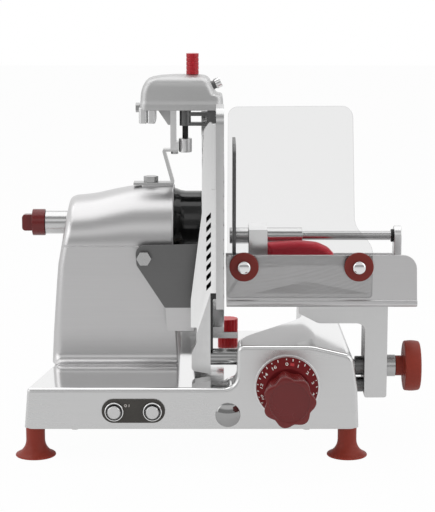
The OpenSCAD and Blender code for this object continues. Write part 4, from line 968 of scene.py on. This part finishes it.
@dataclass
class Dial:
    """The numbered thickness dial with its lobed knob and cam shaft."""

    shop: Shop
    lobes: int = 7
    back_r: float = 24.0 * MM
    valley: float = 4.2 * MM
    face_r: float = 22.6 * MM
    recess: float = 1.3 * MM
    taper: float = 10.0 * MM
    numbers: tuple[str, ...] = ("0", "1", "2", "3", "4", "5", "6", "7", "8", "9", "10", "12", "14", "16")
    half_tick: float = 0.08
    figure_scale: float = 1.35
    figure_weight: float = 0.10 * MM
    pitch: float = 25.4
    first: float = -2.0
    figure_h: float = 5.2 * MM
    figure_share: float = 0.62
    tick_shares: tuple[float, float] = (0.14, 0.34)
    tick_w: float = 1.1 * MM
    index_turn: float = 12.0
    index_half: float = 2.3 * MM
    proud: float = 0.12 * MM

    def build(self) -> None:
        """Make the knob and the printed ring, and dress the rest."""
        self._knob()
        self._marks()
        self.shop.dress("dial_ring", FINISH.dial, 0.0008, 3)
        self.shop.dress("dial_bezel", FINISH.pale, 0.0006, 3)
        self.shop.dress("cam_shaft", FINISH.inner)

    def _knob(self) -> None:
        """Loft the lobed knob: it grows towards its recessed front disc."""
        low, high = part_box("dial_knob")
        ring_low, ring_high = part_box("dial_ring")
        cx, cz = (ring_low.x + ring_high.x) / 2, (ring_low.z + ring_high.z) / 2
        outer = high.x - cx
        length = high.y - low.y
        rings = []
        profile = [(0.0, 0.0, 0.55), (0.05, 0.05, 0.7), (0.25, 0.24, 1.0), (0.5, 0.52, 1.0),
                   (0.75, 0.80, 1.0), (0.88, 0.95, 1.0), (0.94, 1.0, 1.0), (0.975, 0.96, 0.95),
                   (1.0, 0.72, 0.80)]
        for along, growth, depth in profile:
            radius = self.back_r + (outer - self.back_r) * growth
            rings.append(self._lobed(cx, cz, high.y - along * length, radius, self.valley * depth))
        front = low.y
        floor = front + self.recess
        for radius, y in ((self.face_r + 0.5 * MM, front + 0.1 * MM), (self.face_r, front + 0.6 * MM),
                          (self.face_r - 0.6 * MM, floor), (self.face_r * 0.5, floor)):
            rings.append(self._lobed(cx, cz, y, radius, 0.0))
        self.shop.piece("dial_knob_lobed", loft(rings), FINISH.maroon, "dial", "dial_red", ["dial_knob"])

    def _lobed(self, cx: float, cz: float, y: float, outer: float, valley: float) -> list[Vector]:
        """Give one ring of the knob: broad lobes with hollow valleys between them."""
        steps = self.lobes * 28
        ring = []
        for k in range(steps):
            a = 2 * math.pi * k / steps
            wave = (1 + math.cos(self.lobes * a)) / 2
            r = outer - valley * (1 - wave ** 0.8)
            ring.append(Vector((cx + r * math.cos(a), y, cz + r * math.sin(a))))
        return ring

    def _on_cone(self, turn: float, share: float, offset: Point2, lift: float) -> Vector:
        """Give a point on the ring's cone.

        Args:
            turn: Degrees clockwise from the top.
            share: Place from the back edge, 0, to the front edge, 1.
            offset: Steps along the ring and up the cone towards its back.
            lift: Height over the cone.

        Returns:
            The point in space.
        """
        low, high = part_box("dial_ring")
        radius = (high.x - low.x) / 2
        depth = high.y - low.y
        slope = math.hypot(self.taper, depth)
        a = math.radians(turn)
        out = Vector((math.sin(a), 0.0, math.cos(a)))
        along = Vector((math.cos(a), 0.0, -math.sin(a)))
        back = (out * self.taper + Vector((0.0, depth, 0.0))) / slope
        normal = (out * depth - Vector((0.0, self.taper, 0.0))) / slope
        centre = Vector(((low.x + high.x) / 2, high.y - share * depth, (low.z + high.z) / 2))
        foot = centre + out * (radius - share * self.taper)
        return foot + along * offset[0] + back * offset[1] + normal * lift

    def _marks(self) -> None:
        """Print the figures, the ticks and the red index on the ring."""
        ink = bmesh.new()
        for k, text in enumerate(self.numbers):
            self._figure(ink, text, self.first + k * self.pitch)
        for k in range(2 * len(self.numbers)):
            turn = self.first + k * self.pitch / 2
            share = self.tick_shares[1] if k % 2 else self.tick_shares[1] - self.half_tick
            self._bar(ink, turn, self.tick_shares[0], share)
        self.shop.piece("dial_figures", ink, FINISH.ink, "dial", "dial_red")
        index = bmesh.new()
        half = self.index_half
        self._pad(index, [self._on_cone(self.first + self.index_turn, self.figure_share, corner, self.proud)
                          for corner in ((-half, -half), (half, -half), (half, half), (-half, half))])
        self.shop.piece("dial_index", index, FINISH.index, "dial", "dial_red")

    def _bar(self, mesh: bmesh.types.BMesh, turn: float, near: float, far: float) -> None:
        """Add one tick between two places on the cone."""
        half = self.tick_w / 2
        self._pad(mesh, [self._on_cone(turn, share, (side, 0.0), self.proud)
                         for share, side in ((near, -half), (near, half), (far, half), (far, -half))])

    @staticmethod
    def _pad(mesh: bmesh.types.BMesh, corners: Sequence[Vector]) -> None:
        """Add a thin flat patch of ink."""
        mesh.faces.new([mesh.verts.new(p) for p in corners])
        bmesh.ops.recalc_face_normals(mesh, faces=mesh.faces)

    def _figure(self, mesh: bmesh.types.BMesh, text: str, turn: float) -> None:
        """Add a number, laid on the cone with its foot towards the knob."""
        curve = bpy.data.curves.new("figure", "FONT")
        curve.body = text
        curve.size = self.figure_h * self.figure_scale
        curve.align_x = "CENTER"
        curve.align_y = "CENTER"
        curve.offset = self.figure_weight
        curve.resolution_u = 3
        holder = bpy.data.objects.new("figure", curve)
        bpy.context.scene.collection.objects.link(holder)
        graph = bpy.context.evaluated_depsgraph_get()
        flat = bpy.data.meshes.new_from_object(holder.evaluated_get(graph))
        verts = [mesh.verts.new(self._on_cone(turn, self.figure_share, (v.co.x, v.co.y), self.proud))
                 for v in flat.vertices]
        for face in flat.polygons:
            mesh.faces.new([verts[k] for k in face.vertices])
        bpy.data.objects.remove(holder)
        bpy.data.curves.remove(curve)
        bpy.data.meshes.remove(flat)


@dataclass
class Gauge:
    """The gauge plate with its arm, shaft and bush, the web of its mast, and painted shade in and behind the
    mast's slots.
    """

    shop: Shop
    foot_h: float = 55 * MM
    mast_t: float = 12 * MM
    web_low: float = 306.5 * MM
    web_in: float = 1.6 * MM
    slots_x: Point2 = (-13.4 * MM, -7.5 * MM)
    slots_z: Point2 = (188 * MM, 283 * MM)
    shadow_sheet_t: float = 1.2 * MM
    web_left: float = 5.8 * MM
    web_down: float = 1.5 * MM
    web_behind: float = 0.4 * MM
    slot_lip: float = 0.8 * MM
    shadow_sheet_sunk: float = 0.2 * MM

    def build(self) -> None:
        """Dress the gauge, close its mast to the plate, and paint the slots black: their walls and a sheet
        behind them are painted shade.
        """
        low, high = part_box("gauge_arm")
        foot = low.z + self.foot_h
        rear = low.y + self.mast_t
        self.shop.dress("gauge_plate", FINISH.gauge, 0.0006)
        self.shop.dress("gauge_arm", FINISH.mast, 0.0012, 3, patches=[
            (lambda p: p.z < foot, FINISH.arm),
            # The walls inside the mast's slots take the black finish: painted shade for the shadow in the
            # slots.
            (lambda p: self._in_slot(p) and low.y + self.slot_lip < p.y < rear - self.slot_lip, FINISH.rubber_and_shade)])
        self.shop.dress("gauge_spacer", FINISH.black, 0.0005)
        self.shop.dress("gauge_shaft", FINISH.shaft, 0.0005)
        self.shop.dress("gauge_bush", FINISH.bronze, 0.0004)
        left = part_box("gauge_plate")[0].x - self.web_left
        web = rectangle((left, high.x), (self.web_low, high.z - self.web_down), 0.3 * MM, 0.8 * MM)
        self.shop.piece("gauge_web", prism(Axis.Y, low.y + self.web_in, rear - self.web_behind, web, 0.3 * MM),
                        FINISH.mast, "gauge", "cast_aluminium")
        # A thin black sheet behind the slots: painted shadow for the dark gap seen through them.
        shadow_sheet = rectangle(self.slots_x, self.slots_z, 1 * MM)
        self.shop.piece("gauge_slot_shadow_sheet",
                        prism(Axis.Y, rear - self.shadow_sheet_sunk, rear + self.shadow_sheet_t, shadow_sheet, 0.2 * MM),
                        FINISH.rubber_and_shade, "gauge", "black")

    def _in_slot(self, point: Vector) -> bool:
        """Say whether a point lies in the range of the mast's slots."""
        return (self.slots_x[0] < point.x < self.slots_x[1]) and (self.slots_z[0] < point.z < self.slots_z[1])


@dataclass
class Drive:
    """The motor column with its inner drive, the tie rod and the black hub collar."""

    shop: Shop
    arc_z: float = 231 * MM
    flank_step: float = 2.5 * MM
    skirt: float = 12 * MM
    lip: float = 0.8 * MM
    left_rim: float = 12 * MM
    right_rim: float = 3 * MM
    cap_share: float = 0.45
    half: float = 65 * MM
    left_line: tuple[Point2, ...] = ((85.0, -201.5), (121.0, -199.6), (206.0, -193.0), (241.5, -185.8),
                                     (275.0, -181.0), (320.0, -178.0))
    right_line: tuple[Point2, ...] = ((85.0, -47.0), (199.0, -53.0), (320.0, -53.0))
    top_line: tuple[Point2, ...] = ((-205.0, 280.0), (-180.0, 280.9), (-151.4, 283.4), (-126.8, 289.3),
                                    (-102.3, 293.9), (-53.5, 295.5), (-40.0, 295.5))
    soften: float = 9.0
    pad_x: tuple[float, float] = (-93.8 * MM, -54 * MM)
    pad_half: float = 9 * MM
    pad_h: float = 14 * MM
    top_level: float = 280 * MM
    crease_h: float = 4 * MM

    def build(self) -> None:
        """Loft the column and dress the rest of the drive."""
        self._column()
        self.shop.dress("housing_bolts", FINISH.zinc, 0.0003)
        for node, finish in (("motor_stator", FINISH.dark), ("motor_rotor", FINISH.inner),
                             ("motor_pulley", FINISH.inner), ("blade_pulley", FINISH.inner),
                             ("drive_belt", FINISH.rubber_and_shade), ("shaft_bearings", FINISH.steel)):
            self.shop.dress(node, finish)
        self.shop.dress("hub_collar", FINISH.black, 0.0006)
        self.shop.dress("tie_rod_sleeve", FINISH.steel, 0.0006)
        self.shop.dress("tie_rod", FINISH.steel)
        self.shop.dress("tie_rod_knob", FINISH.maroon, 0.0014, 3)

    def _line(self, points: Sequence[Point2], at: float) -> float:
        """Read a line of points in millimetres at a place in metres, with softened bends."""
        total = 0.0
        taps = 9
        for k in range(taps):
            here = at / MM + self.soften * (2 * k / (taps - 1) - 1)
            here = min(max(here, points[0][0]), points[-1][0])
            for (a, u), (b, v) in zip(points, points[1:]):
                if a <= here <= b:
                    total += u + (v - u) * (here - a) / (b - a)
                    break
        return total / taps * MM

    def _column(self) -> None:
        """Loft the housing along X: flared skirt, flat flanks, a crease and the waisted tunnel over it."""
        low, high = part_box("motor_housing")
        middle = (low.y + high.y) / 2
        left, right = self.left_line[0][1] * MM, self.right_line[0][1] * MM
        stations = self._stations(right - left)
        rings = []
        for along, inset in stations:
            share = along / (right - left)
            top_x = self._line(self.left_line, self.top_level)
            here = top_x + share * (self.right_line[-1][1] * MM - top_x)
            top = self._line(self.top_line, here) - inset * self.cap_share
            ring = []
            for y, z in self._section(low.z, top, inset):
                x0 = self._line(self.left_line, z)
                x1 = self._line(self.right_line, z)
                ring.append(Vector((x0 + share * (x1 - x0), middle + y, z)))
            rings.append(ring)
        self.shop.piece("motor_column_skin", loft(rings), FINISH.column, "base", "cast_aluminium",
                        ["motor_housing"])
        pad = [(self.pad_x[0], middle - self.pad_half, 4 * MM), (self.pad_x[1], middle - self.pad_half, 2 * MM),
               (self.pad_x[1], middle + self.pad_half, 2 * MM), (self.pad_x[0], middle + self.pad_half, 4 * MM)]
        top_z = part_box("sharpener_strip")[0].z
        self.shop.piece("strip_seat", prism(Axis.Z, top_z - self.pad_h, top_z, pad, 0.4 * MM), FINISH.column,
                        "base", "cast_aluminium")

    def _stations(self, length: float) -> list[tuple[float, float]]:
        """Give places along the column with the inset of its rounded ends."""
        turns = [math.pi / 2 * k / 8 for k in range(9)]
        near = [(self.left_rim * (1 - math.sin(t)), self.left_rim * (1 - math.cos(t))) for t in reversed(turns)]
        far = [(length - self.right_rim * (1 - math.sin(t)), self.right_rim * (1 - math.cos(t))) for t in turns]
        inner = [self.left_rim + (length - self.left_rim - self.right_rim) * k / 26 for k in range(1, 26)]
        return near + [(along, 0.0) for along in inner] + far

    def _section(self, foot: float, top: float, inset: float) -> list[Point2]:
        """Give the outline across the column, from the front skirt over the top to the rear skirt.

        Args:
            foot: Height of its foot.
            top: Height of the tunnel's top.
            inset: How far the sides stand in.

        Returns:
            Points of depth from the middle, and height.
        """
        flank = self.half - self.flank_step - inset
        wide = self.half - inset
        spread = max(self.skirt - inset, 0.3 * MM)
        side: list[Point2] = [(-(flank + spread), foot), (-(flank + spread), foot + self.lip)]
        for k in range(1, 9):
            t = math.pi / 2 * k / 8
            side.append((-(flank + spread * (1 - math.sin(t))),
                         foot + self.lip + self.skirt * (1 - math.cos(t))))
        crease = self.arc_z - self.crease_h
        for k in range(1, 7):
            knee = foot + self.lip + self.skirt
            side.append((-flank, knee + (crease - knee) * k / 6))
        for k in range(1, 6):
            t = math.pi * k / 5
            side.append((-(flank + (wide - flank) * (1 - math.cos(t)) / 2), crease + self.crease_h * k / 5))
        for k in range(1, 19):
            t = math.pi / 2 * k / 18
            side.append((-wide * math.cos(t), self.arc_z + (top - self.arc_z) * math.sin(t)))
        return side + [(-y, z) for y, z in reversed(side[:-1])]


@dataclass
class BladeGroup:
    """The blade with its shaft, cover, guard and slice deflector."""

    shop: Shop
    tongue_top: Point2 = (-62.5 * MM, -25.5 * MM)
    tongue_foot: Point2 = (-60 * MM, -28 * MM)
    tongue_drop: float = 28.5 * MM
    tongue_lap: float = 1.5 * MM
    tongue_y: Point2 = (0.2 * MM, 2.3 * MM)

    def build(self) -> None:
        """Dress the blade group and hang the tongue under the deflector."""
        self.shop.dress("blade", FINISH.blade, 0.0002)
        self.shop.dress("blade_shaft", FINISH.steel)
        self.shop.dress("blade_screws", FINISH.zinc)
        self.shop.dress("blade_cover", FINISH.steel, 0.0005)
        self.shop.dress("blade_guard", FINISH.guard, 0.0012, 3)
        # The clamp knob takes the lightened red: painted light against its shadow.
        self.shop.dress("guard_clamp_knob", FINISH.clamp, 0.0006)
        self.shop.dress("slice_deflector", FINISH.dark, 0.0004)
        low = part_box("slice_deflector")[0]
        foot, top = low.z - self.tongue_drop, low.z + self.tongue_lap
        tongue = [(self.tongue_foot[0], foot, 2 * MM), (self.tongue_foot[1], foot, 2 * MM),
                  (self.tongue_top[1], top, 0.3 * MM), (self.tongue_top[0], top, 0.3 * MM)]
        front, back = (low.y + y for y in self.tongue_y)
        self.shop.piece("deflector_tongue", prism(Axis.Y, front, back, tongue, 0.3 * MM), FINISH.column, "base",
                        "dark_steel")


@dataclass
class Carriage:
    """The sliding carriage: tray, arm, clear hand guard, pusher rod and lock."""

    shop: Shop
    dome_h: float = 2.6 * MM
    dome_edge: float = 0.1 * MM
    dome_sunk: float = 1 * MM
    bush_past: float = 1 * MM
    bush_share: float = 0.75

    def build(self) -> None:
        """Dress the carriage and dome its guard's screws."""
        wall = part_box("base_casting")[1].x
        self.shop.dress("slider_block", FINISH.inner, patches=[(lambda p: p.x > wall, FINISH.dark)])
        self.shop.dress("carriage_arm", FINISH.arm, 0.0016, 3)
        self.shop.dress("carriage_tray", FINISH.tray, 0.0008)
        self.shop.dress("clear_guard", FINISH.clear, 0.0009, 2, edge_finish=FINISH.clear_edge)
        self.shop.dress("guard_washers", FINISH.rust, 0.0012, 3)
        self.shop.dress("guard_screws", FINISH.chrome, 0.0010, 3)
        self._screw_domes()
        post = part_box("rod_post")[0].x
        rod_low, rod_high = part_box("pusher_rod")
        thick = (rod_high.z - rod_low.z) / 2
        middle = Vector((0.0, (rod_low.y + rod_high.y) / 2, (rod_low.z + rod_high.z) / 2))
        self.shop.dress("pusher_rod", FINISH.rod, patches=[
            (lambda p: p.x < post + self.bush_past and (p.yz - middle.yz).length > self.bush_share * thick,
             FINISH.rubber_and_shade)])
        self.shop.dress("rod_post", FINISH.pale, 0.0010, 3)
        self.shop.dress("lock_shaft", FINISH.rod, 0.0006)
        self.shop.dress("lock_knob", FINISH.brick, 0.0010, 3)

    def _screw_domes(self) -> None:
        """Put a polished dome on each screw of the clear guard."""
        low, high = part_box("guard_screws")
        radius = (high.z - low.z) / 2
        profile = [(max(TIP, radius * math.sin(t)), low.y - self.dome_h * math.cos(t))
                   for t in (math.pi / 2 * k / 12 for k in range(12))]
        profile += [(radius - self.dome_edge, low.y), (radius - self.dome_edge, low.y + self.dome_sunk)]
        for k, x in enumerate((low.x + radius, high.x - radius), 1):
            centre = Vector((x, 0.0, (low.z + high.z) / 2))
            self.shop.piece("guard_screw_dome_%d" % k, lathe(Axis.Y, centre, profile, 48), FINISH.chrome,
                            "carriage", "fasteners")


@dataclass
class Pusher:
    """The pusher plate on its sleeve, with the red grip."""

    shop: Shop
    bullnose: float = 7 * MM
    foot_in: float = 6 * MM
    nose: tuple[Corner, ...] = ((0.6, 24.6, 8), (0.9, 16, 6), (8, 8.2, 16), (21, 2.3, 28), (42, 0, 60))
    heel_down: float = 2.4 * MM
    block_right: float = 0.5 * MM
    block_w: float = 22 * MM

    def build(self) -> None:
        """Loft the grip, whose nose is given from its right and top in mm, and dress the rest."""
        low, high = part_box("pusher_grip")
        corners = [(low.x, low.z, 2 * MM), (high.x - self.foot_in, low.z, 8 * MM)]
        corners += [(high.x - back * MM, high.z - down * MM, radius * MM) for back, down, radius in self.nose]
        corners.append((low.x, high.z - self.heel_down, 3 * MM))
        self.shop.piece("pusher_handle", prism(Axis.Y, low.y, high.y, corners, self.bullnose, 8), FINISH.grip,
                        "pusher", "red", ["pusher_grip"])
        right = low.x + self.block_right
        left = right - self.block_w
        self.shop.dress("pusher_sleeve", FINISH.steel, 0.0010, 3,
                        patches=[(lambda p: left < p.x < right, FINISH.mast)])
        self.shop.dress("pusher_plate", FINISH.dark, 0.0005)


@dataclass(frozen=True)
class CoverRow:
    """One level of the sharpener's cover, in millimetres: height, left and right ends, half depth."""

    up: float
    left: float
    right: float
    half: float
    corner: float = 9.0


@dataclass
class Sharpener:
    """The sharpener on its bent strip: cover, lifting knob, stone and honing button."""

    shop: Shop
    underside: float = 388.8 * MM
    inner: tuple[CoverRow, ...] = (
        CoverRow(28.0, -86.0, -11.0, 21.0, 4.0), CoverRow(14.0, -89.0, -6.0, 23.6, 4.0),
        CoverRow(12.0, -89.5, 2.9, 24.0, 4.0), CoverRow(0.0, -90.0, 2.9, 26.0, 4.0))
    outer: tuple[CoverRow, ...] = (
        CoverRow(0.0, -93.6, 6.5, 29.6), CoverRow(0.5, -94.0, 6.9, 30.0), CoverRow(6.5, -93.8, 6.9, 29.8),
        CoverRow(8.5, -93.5, 6.8, 29.2), CoverRow(10.5, -93.2, 6.6, 28.4), CoverRow(13.0, -93.0, 6.3, 28.1),
        CoverRow(16.2, -92.8, 5.6, 27.9), CoverRow(17.4, -92.7, 4.4, 27.8), CoverRow(18.2, -92.6, 0.0, 27.7),
        CoverRow(19.4, -92.5, -1.9, 27.6), CoverRow(23.0, -91.9, -3.8, 27.4), CoverRow(28.0, -90.4, -6.2, 27.0),
        CoverRow(32.0, -88.0, -8.1, 26.2), CoverRow(35.5, -84.4, -9.9, 24.6),
        CoverRow(38.0, -79.0, -12.0, 22.0),
        CoverRow(39.8, -70.0, -15.5, 18.5), CoverRow(40.9, -57.0, -20.5, 13.5),
        CoverRow(41.4, -44.0, -26.0, 7.0, 6.0))
    leg_left: float = -95 * MM
    leg_w: float = 10 * MM
    leg_half: float = 28 * MM
    leg_h: float = 16 * MM
    post_x: tuple[float, float] = (-61.4 * MM, -49.8 * MM)
    hone_place: tuple[float, float] = (-6.1 * MM, 416.8 * MM)
    hone_bore: float = 5.3 * MM
    hone_back: float = 18 * MM
    hone_reach: float = 34 * MM
    lift_bore: float = 3.6 * MM
    lift_from: float = 20 * MM
    lift_reach: float = 40 * MM
    strip_foot: float = 4.0 * MM
    hone_neck: float = 0.62
    stone_neck: float = 13.5 * MM
    leg_lap: float = 3 * MM
    seat_h: float = 14 * MM
    seat_half: float = 25.5 * MM
    gusset_w: Point2 = (17 * MM, 3 * MM)
    gusset_h: float = 20 * MM
    gusset_lap: float = 1 * MM
    gusset_half: float = 4 * MM

    def build(self) -> None:
        """Loft the cover, add what hangs from it and dress the rest."""
        self._cover()
        self._hangers()
        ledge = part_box("sharpener_strip")[0].z + self.strip_foot
        self.shop.dress("sharpener_strip", FINISH.steel, 0.0006, patches=[(lambda p: p.z < ledge, FINISH.rod)])
        self.shop.dress("sharpener_post", FINISH.pale, 0.0006)
        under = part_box("sharpener_post")[0].z
        self.shop.dress("hex_bolts", FINISH.rod, 0.0006, patches=[(lambda p: p.z > under, FINISH.shaft)])
        self.shop.dress("lift_plunger", FINISH.dark, 0.0006)
        self.shop.dress("lift_knob", FINISH.red, 0.0006)
        neck = under + self.stone_neck
        self.shop.dress("grinding_stone", FINISH.pale, 0.0008, patches=[(lambda p: p.z > neck, FINISH.rubber_and_shade)])
        low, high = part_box("hone_button")
        head = low.x + self.hone_neck * (high.x - low.x)
        # The neck under the chrome head takes the dark finish: painted shade for the shadow beneath the head.
        self.shop.dress("hone_button", FINISH.chrome, 0.0010, 3, [(lambda p: p.x < head, FINISH.dark)])

    @staticmethod
    def _middle() -> float:
        """Give the depth of the blade's axis, over which the sharpener stands."""
        low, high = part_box("blade")
        return (low.y + high.y) / 2

    def _ring(self, row: CoverRow) -> list[Vector]:
        """Give a level of the cover as a ring of points."""
        middle = self._middle()
        radius = min(row.corner, row.half - 0.5) * MM
        half = row.half * MM
        corners = rectangle((row.left * MM, row.right * MM), (middle - half, middle + half), radius)
        return [Vector((x, y, self.underside + row.up * MM)) for x, y in rounded(corners, 7)]

    def _cover(self) -> None:
        """Loft the hollow cover and drill it for the plunger and the honing button."""
        rings = [self._ring(row) for row in self.inner + self.outer]
        cover = self.shop.piece("sharpener_cover_shell", loft(rings), FINISH.satin, "base", "satin_cover",
                                ["sharpener_cover"])
        knob_low, knob_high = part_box("lift_knob")
        lift = Vector(((knob_low.x + knob_high.x) / 2, self._middle(), self.underside + self.lift_from))
        press = next(j["axis"] for j in FRAME["joints"] if j["name"] == "hone_press")
        aim = -Vector(press).normalized()
        hone = Vector((self.hone_place[0], self._middle(), self.hone_place[1]))
        self.shop.cut(cover, [drill(lift, Vector((0.0, 0.0, 1.0)), self.lift_reach, self.lift_bore),
                              drill(hone - aim * self.hone_back, aim, self.hone_reach, self.hone_bore)])

    def _hangers(self) -> None:
        """Add the two legs, the seat of the post and its gusset under the cover."""
        middle = self._middle()
        for k in range(2):
            left = self.leg_left + k * self.leg_w
            corners = rectangle((left, left + self.leg_w), (middle - self.leg_half, middle + self.leg_half),
                                3.5 * MM)
            foot, top = self.underside - self.leg_h, self.underside + self.leg_lap
            self.shop.piece("sharpener_leg_%d" % (k + 1), prism(Axis.Z, foot, top, corners, 1.2 * MM),
                            FINISH.pale, "base", "satin_cover")
        seat = rectangle(self.post_x, (self.underside, self.underside + self.seat_h), 0.5 * MM, 1 * MM)
        self.shop.piece("sharpener_seat",
                        prism(Axis.Y, middle - self.seat_half, middle + self.seat_half, seat, 0.4 * MM),
                        FINISH.satin, "base", "satin_cover")
        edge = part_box("sharpener_post")[0].x
        top, tip = self.underside + self.gusset_lap, self.underside - self.gusset_h
        gusset = [(edge - self.gusset_w[0], top, 0.4 * MM), (edge - self.gusset_w[1], tip, 1 * MM),
                  (edge, tip, 0.4 * MM), (edge, top, 0.4 * MM)]
        self.shop.piece("sharpener_gusset",
                        prism(Axis.Y, middle - self.gusset_half, middle + self.gusset_half, gusset, 0.3 * MM),
                        FINISH.satin, "base", "satin_cover")


# Studio


@dataclass
class Studio:
    """The plain pale floor, soft lights and the camera at the photograph's angle."""

    camera_place: Vector = field(default_factory=lambda: Vector((0.0, -2.06125, 0.5983)))
    pitch_down: float = 10.5
    lens: float = 122.27
    sensor: float = 36.0
    floor_half: float = 6.0
    world_fill: float = 0.40
    front_room: tuple[Point2, ...] = ((0.0, 0.40), (0.24, 0.40), (0.40, 1.0), (0.56, 1.0), (0.70, 0.42),
                                      (0.82, 0.42), (0.96, 0.40))
    zenith: float = 0.25
    floor_glow: float = 0.97
    floor_gloss: float = 0.5

    def build(self) -> None:
        """Make the camera, floor, lamps and world."""
        scene = bpy.context.scene
        scene.view_settings.view_transform = "Standard"
        self._camera(scene)
        self._floor()
        self._world(scene)
        self._lamp("top_softbox", (0.0, 0.35, 1.9), (0.0, 0.1, 0.0), 2.6, 1.9, 19.0)
        self._lamp("left_softbox", (-1.9, -0.8, 1.0), (0.0, 0.0, 0.2), 1.6, 1.9, 9.5)
        self._lamp("right_softbox", (1.9, -0.9, 1.0), (0.0, 0.0, 0.2), 1.4, 1.9, 8.5)

    def _camera(self, scene: bpy.types.Scene) -> None:
        """Set the camera."""
        data = bpy.data.cameras.new("camera")
        data.lens = self.lens
        data.sensor_width = self.sensor
        camera = bpy.data.objects.new("camera", data)
        camera.location = self.camera_place
        camera.rotation_euler = (math.radians(90 - self.pitch_down), 0.0, 0.0)
        scene.collection.objects.link(camera)
        scene.camera = camera

    def _floor(self) -> None:
        """Lay the floor: white to the camera, with the object's soft shadow kept."""
        mesh = bmesh.new()
        bmesh.ops.create_grid(mesh, x_segments=1, y_segments=1, size=self.floor_half)
        data = bpy.data.meshes.new("floor")
        mesh.to_mesh(data)
        mesh.free()
        floor = bpy.data.objects.new("floor", data)
        bpy.context.scene.collection.objects.link(floor)
        material = bpy.data.materials.new("floor_white")
        material.use_nodes = True
        tree = material.node_tree
        shader = tree.nodes["Principled BSDF"]
        shader.inputs["Base Color"].default_value = (0.86, 0.86, 0.86, 1.0)
        shader.inputs["Roughness"].default_value = 0.9
        shader.inputs["Specular IOR Level"].default_value = 0.0
        glow = tree.nodes.new("ShaderNodeEmission")
        mix = tree.nodes.new("ShaderNodeMixShader")
        path = tree.nodes.new("ShaderNodeLightPath")
        seen = EffectShop.maths(tree, "MAXIMUM", path.outputs["Is Camera Ray"],
                                path.outputs["Is Transmission Ray"])
        plain = EffectShop.maths(tree, "MULTIPLY", seen, self.floor_glow)
        gloss = EffectShop.maths(tree, "MULTIPLY", path.outputs["Is Glossy Ray"], self.floor_gloss)
        share = EffectShop.maths(tree, "MAXIMUM", plain, gloss)
        tree.links.new(share, mix.inputs[0])
        tree.links.new(shader.outputs[0], mix.inputs[1])
        tree.links.new(glow.outputs[0], mix.inputs[2])
        tree.links.new(mix.outputs[0], tree.nodes["Material Output"].inputs["Surface"])
        data.materials.append(material)

    def _world(self, scene: bpy.types.Scene) -> None:
        """Light the room: white behind the machine, and dimmer on the camera's side for gloss alone."""
        world = bpy.data.worlds.new("studio")
        world.use_nodes = True
        tree = world.node_tree
        back = tree.nodes["Background"]
        back.inputs["Color"].default_value = (1.0, 1.0, 1.0, 1.0)
        path = tree.nodes.new("ShaderNodeLightPath")
        seen = EffectShop.maths(tree, "MAXIMUM", path.outputs["Is Camera Ray"],
                                path.outputs["Is Transmission Ray"])
        split = tree.nodes.new("ShaderNodeSeparateXYZ")
        tree.links.new(tree.nodes.new("ShaderNodeTexCoord").outputs["Generated"], split.inputs[0])
        behind = self._step(tree, split.outputs["Y"], -0.6, 0.3, 1.0, 0.0)
        above = self._step(tree, split.outputs["Z"], 0.70, 0.94, 1.0, self.zenith)
        front = tree.nodes.new("ShaderNodeValToRGB")
        front.color_ramp.interpolation = "EASE"
        stops = front.color_ramp.elements
        while len(stops) < len(self.front_room):
            stops.new(0.5)
        for stop, (up, level) in zip(stops, self.front_room):
            stop.position = up
            stop.color = (level, level, level, 1.0)
        tree.links.new(split.outputs["Z"], front.inputs[0])
        dim = EffectShop.maths(tree, "SUBTRACT", front.outputs["Color"], 1.0)
        room = EffectShop.maths(tree, "MULTIPLY_ADD", dim, behind, 1.0)
        lowered = EffectShop.maths(tree, "MULTIPLY", room, above)
        gloss = EffectShop.maths(tree, "MULTIPLY", lowered, path.outputs["Is Glossy Ray"])
        shown = EffectShop.maths(tree, "MAXIMUM", seen, gloss)
        strength = EffectShop.maths(tree, "MAXIMUM", shown, self.world_fill)
        tree.links.new(strength, back.inputs["Strength"])
        scene.world = world

    @staticmethod
    def _step(tree: bpy.types.NodeTree, source: bpy.types.NodeSocket, start: float, end: float, first: float,
              last: float) -> bpy.types.NodeSocket:
        """Add a soft step from one value to another and give its output."""
        node = tree.nodes.new("ShaderNodeMapRange")
        node.interpolation_type = "SMOOTHSTEP"
        for socket, value in (("From Min", start), ("From Max", end), ("To Min", first), ("To Max", last)):
            node.inputs[socket].default_value = value
        tree.links.new(source, node.inputs["Value"])
        return node.outputs[0]

    def _lamp(self, name: str, where: Sequence[float], target: Sequence[float], width: float, height: float,
              power: float) -> None:
        """Hang a rectangular soft lamp that faces a target."""
        data = bpy.data.lights.new(name, "AREA")
        data.shape = "RECTANGLE"
        data.size, data.size_y = width, height
        data.energy = power
        lamp = bpy.data.objects.new(name, data)
        lamp.location = where
        lamp.rotation_euler = (Vector(target) - Vector(where)).to_track_quat("-Z", "Y").to_euler()
        bpy.context.scene.collection.objects.link(lamp)


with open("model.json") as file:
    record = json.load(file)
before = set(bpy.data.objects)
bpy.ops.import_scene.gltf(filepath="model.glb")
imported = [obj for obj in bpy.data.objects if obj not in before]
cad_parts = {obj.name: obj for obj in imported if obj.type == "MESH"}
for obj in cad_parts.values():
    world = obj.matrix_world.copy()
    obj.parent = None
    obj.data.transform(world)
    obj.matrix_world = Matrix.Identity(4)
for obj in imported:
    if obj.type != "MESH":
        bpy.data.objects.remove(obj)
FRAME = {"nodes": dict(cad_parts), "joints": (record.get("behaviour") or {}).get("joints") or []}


def main() -> None:
    """Build the studio and every sub-assembly, and log how many pieces were modelled."""
    logging.basicConfig(level=logging.INFO, format="%(name)s: %(message)s")
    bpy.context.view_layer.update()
    shop = Shop(FRAME["nodes"])
    Studio().build()
    for assembly in (Base(shop), Controls(shop), Dial(shop), Gauge(shop), Drive(shop), BladeGroup(shop),
                     Carriage(shop), Pusher(shop), Sharpener(shop)):
        assembly.build()
    bpy.context.view_layer.update()
    LOG.info("%d modelled pieces", len(shop.made))


if __name__ == "__main__":
    main()
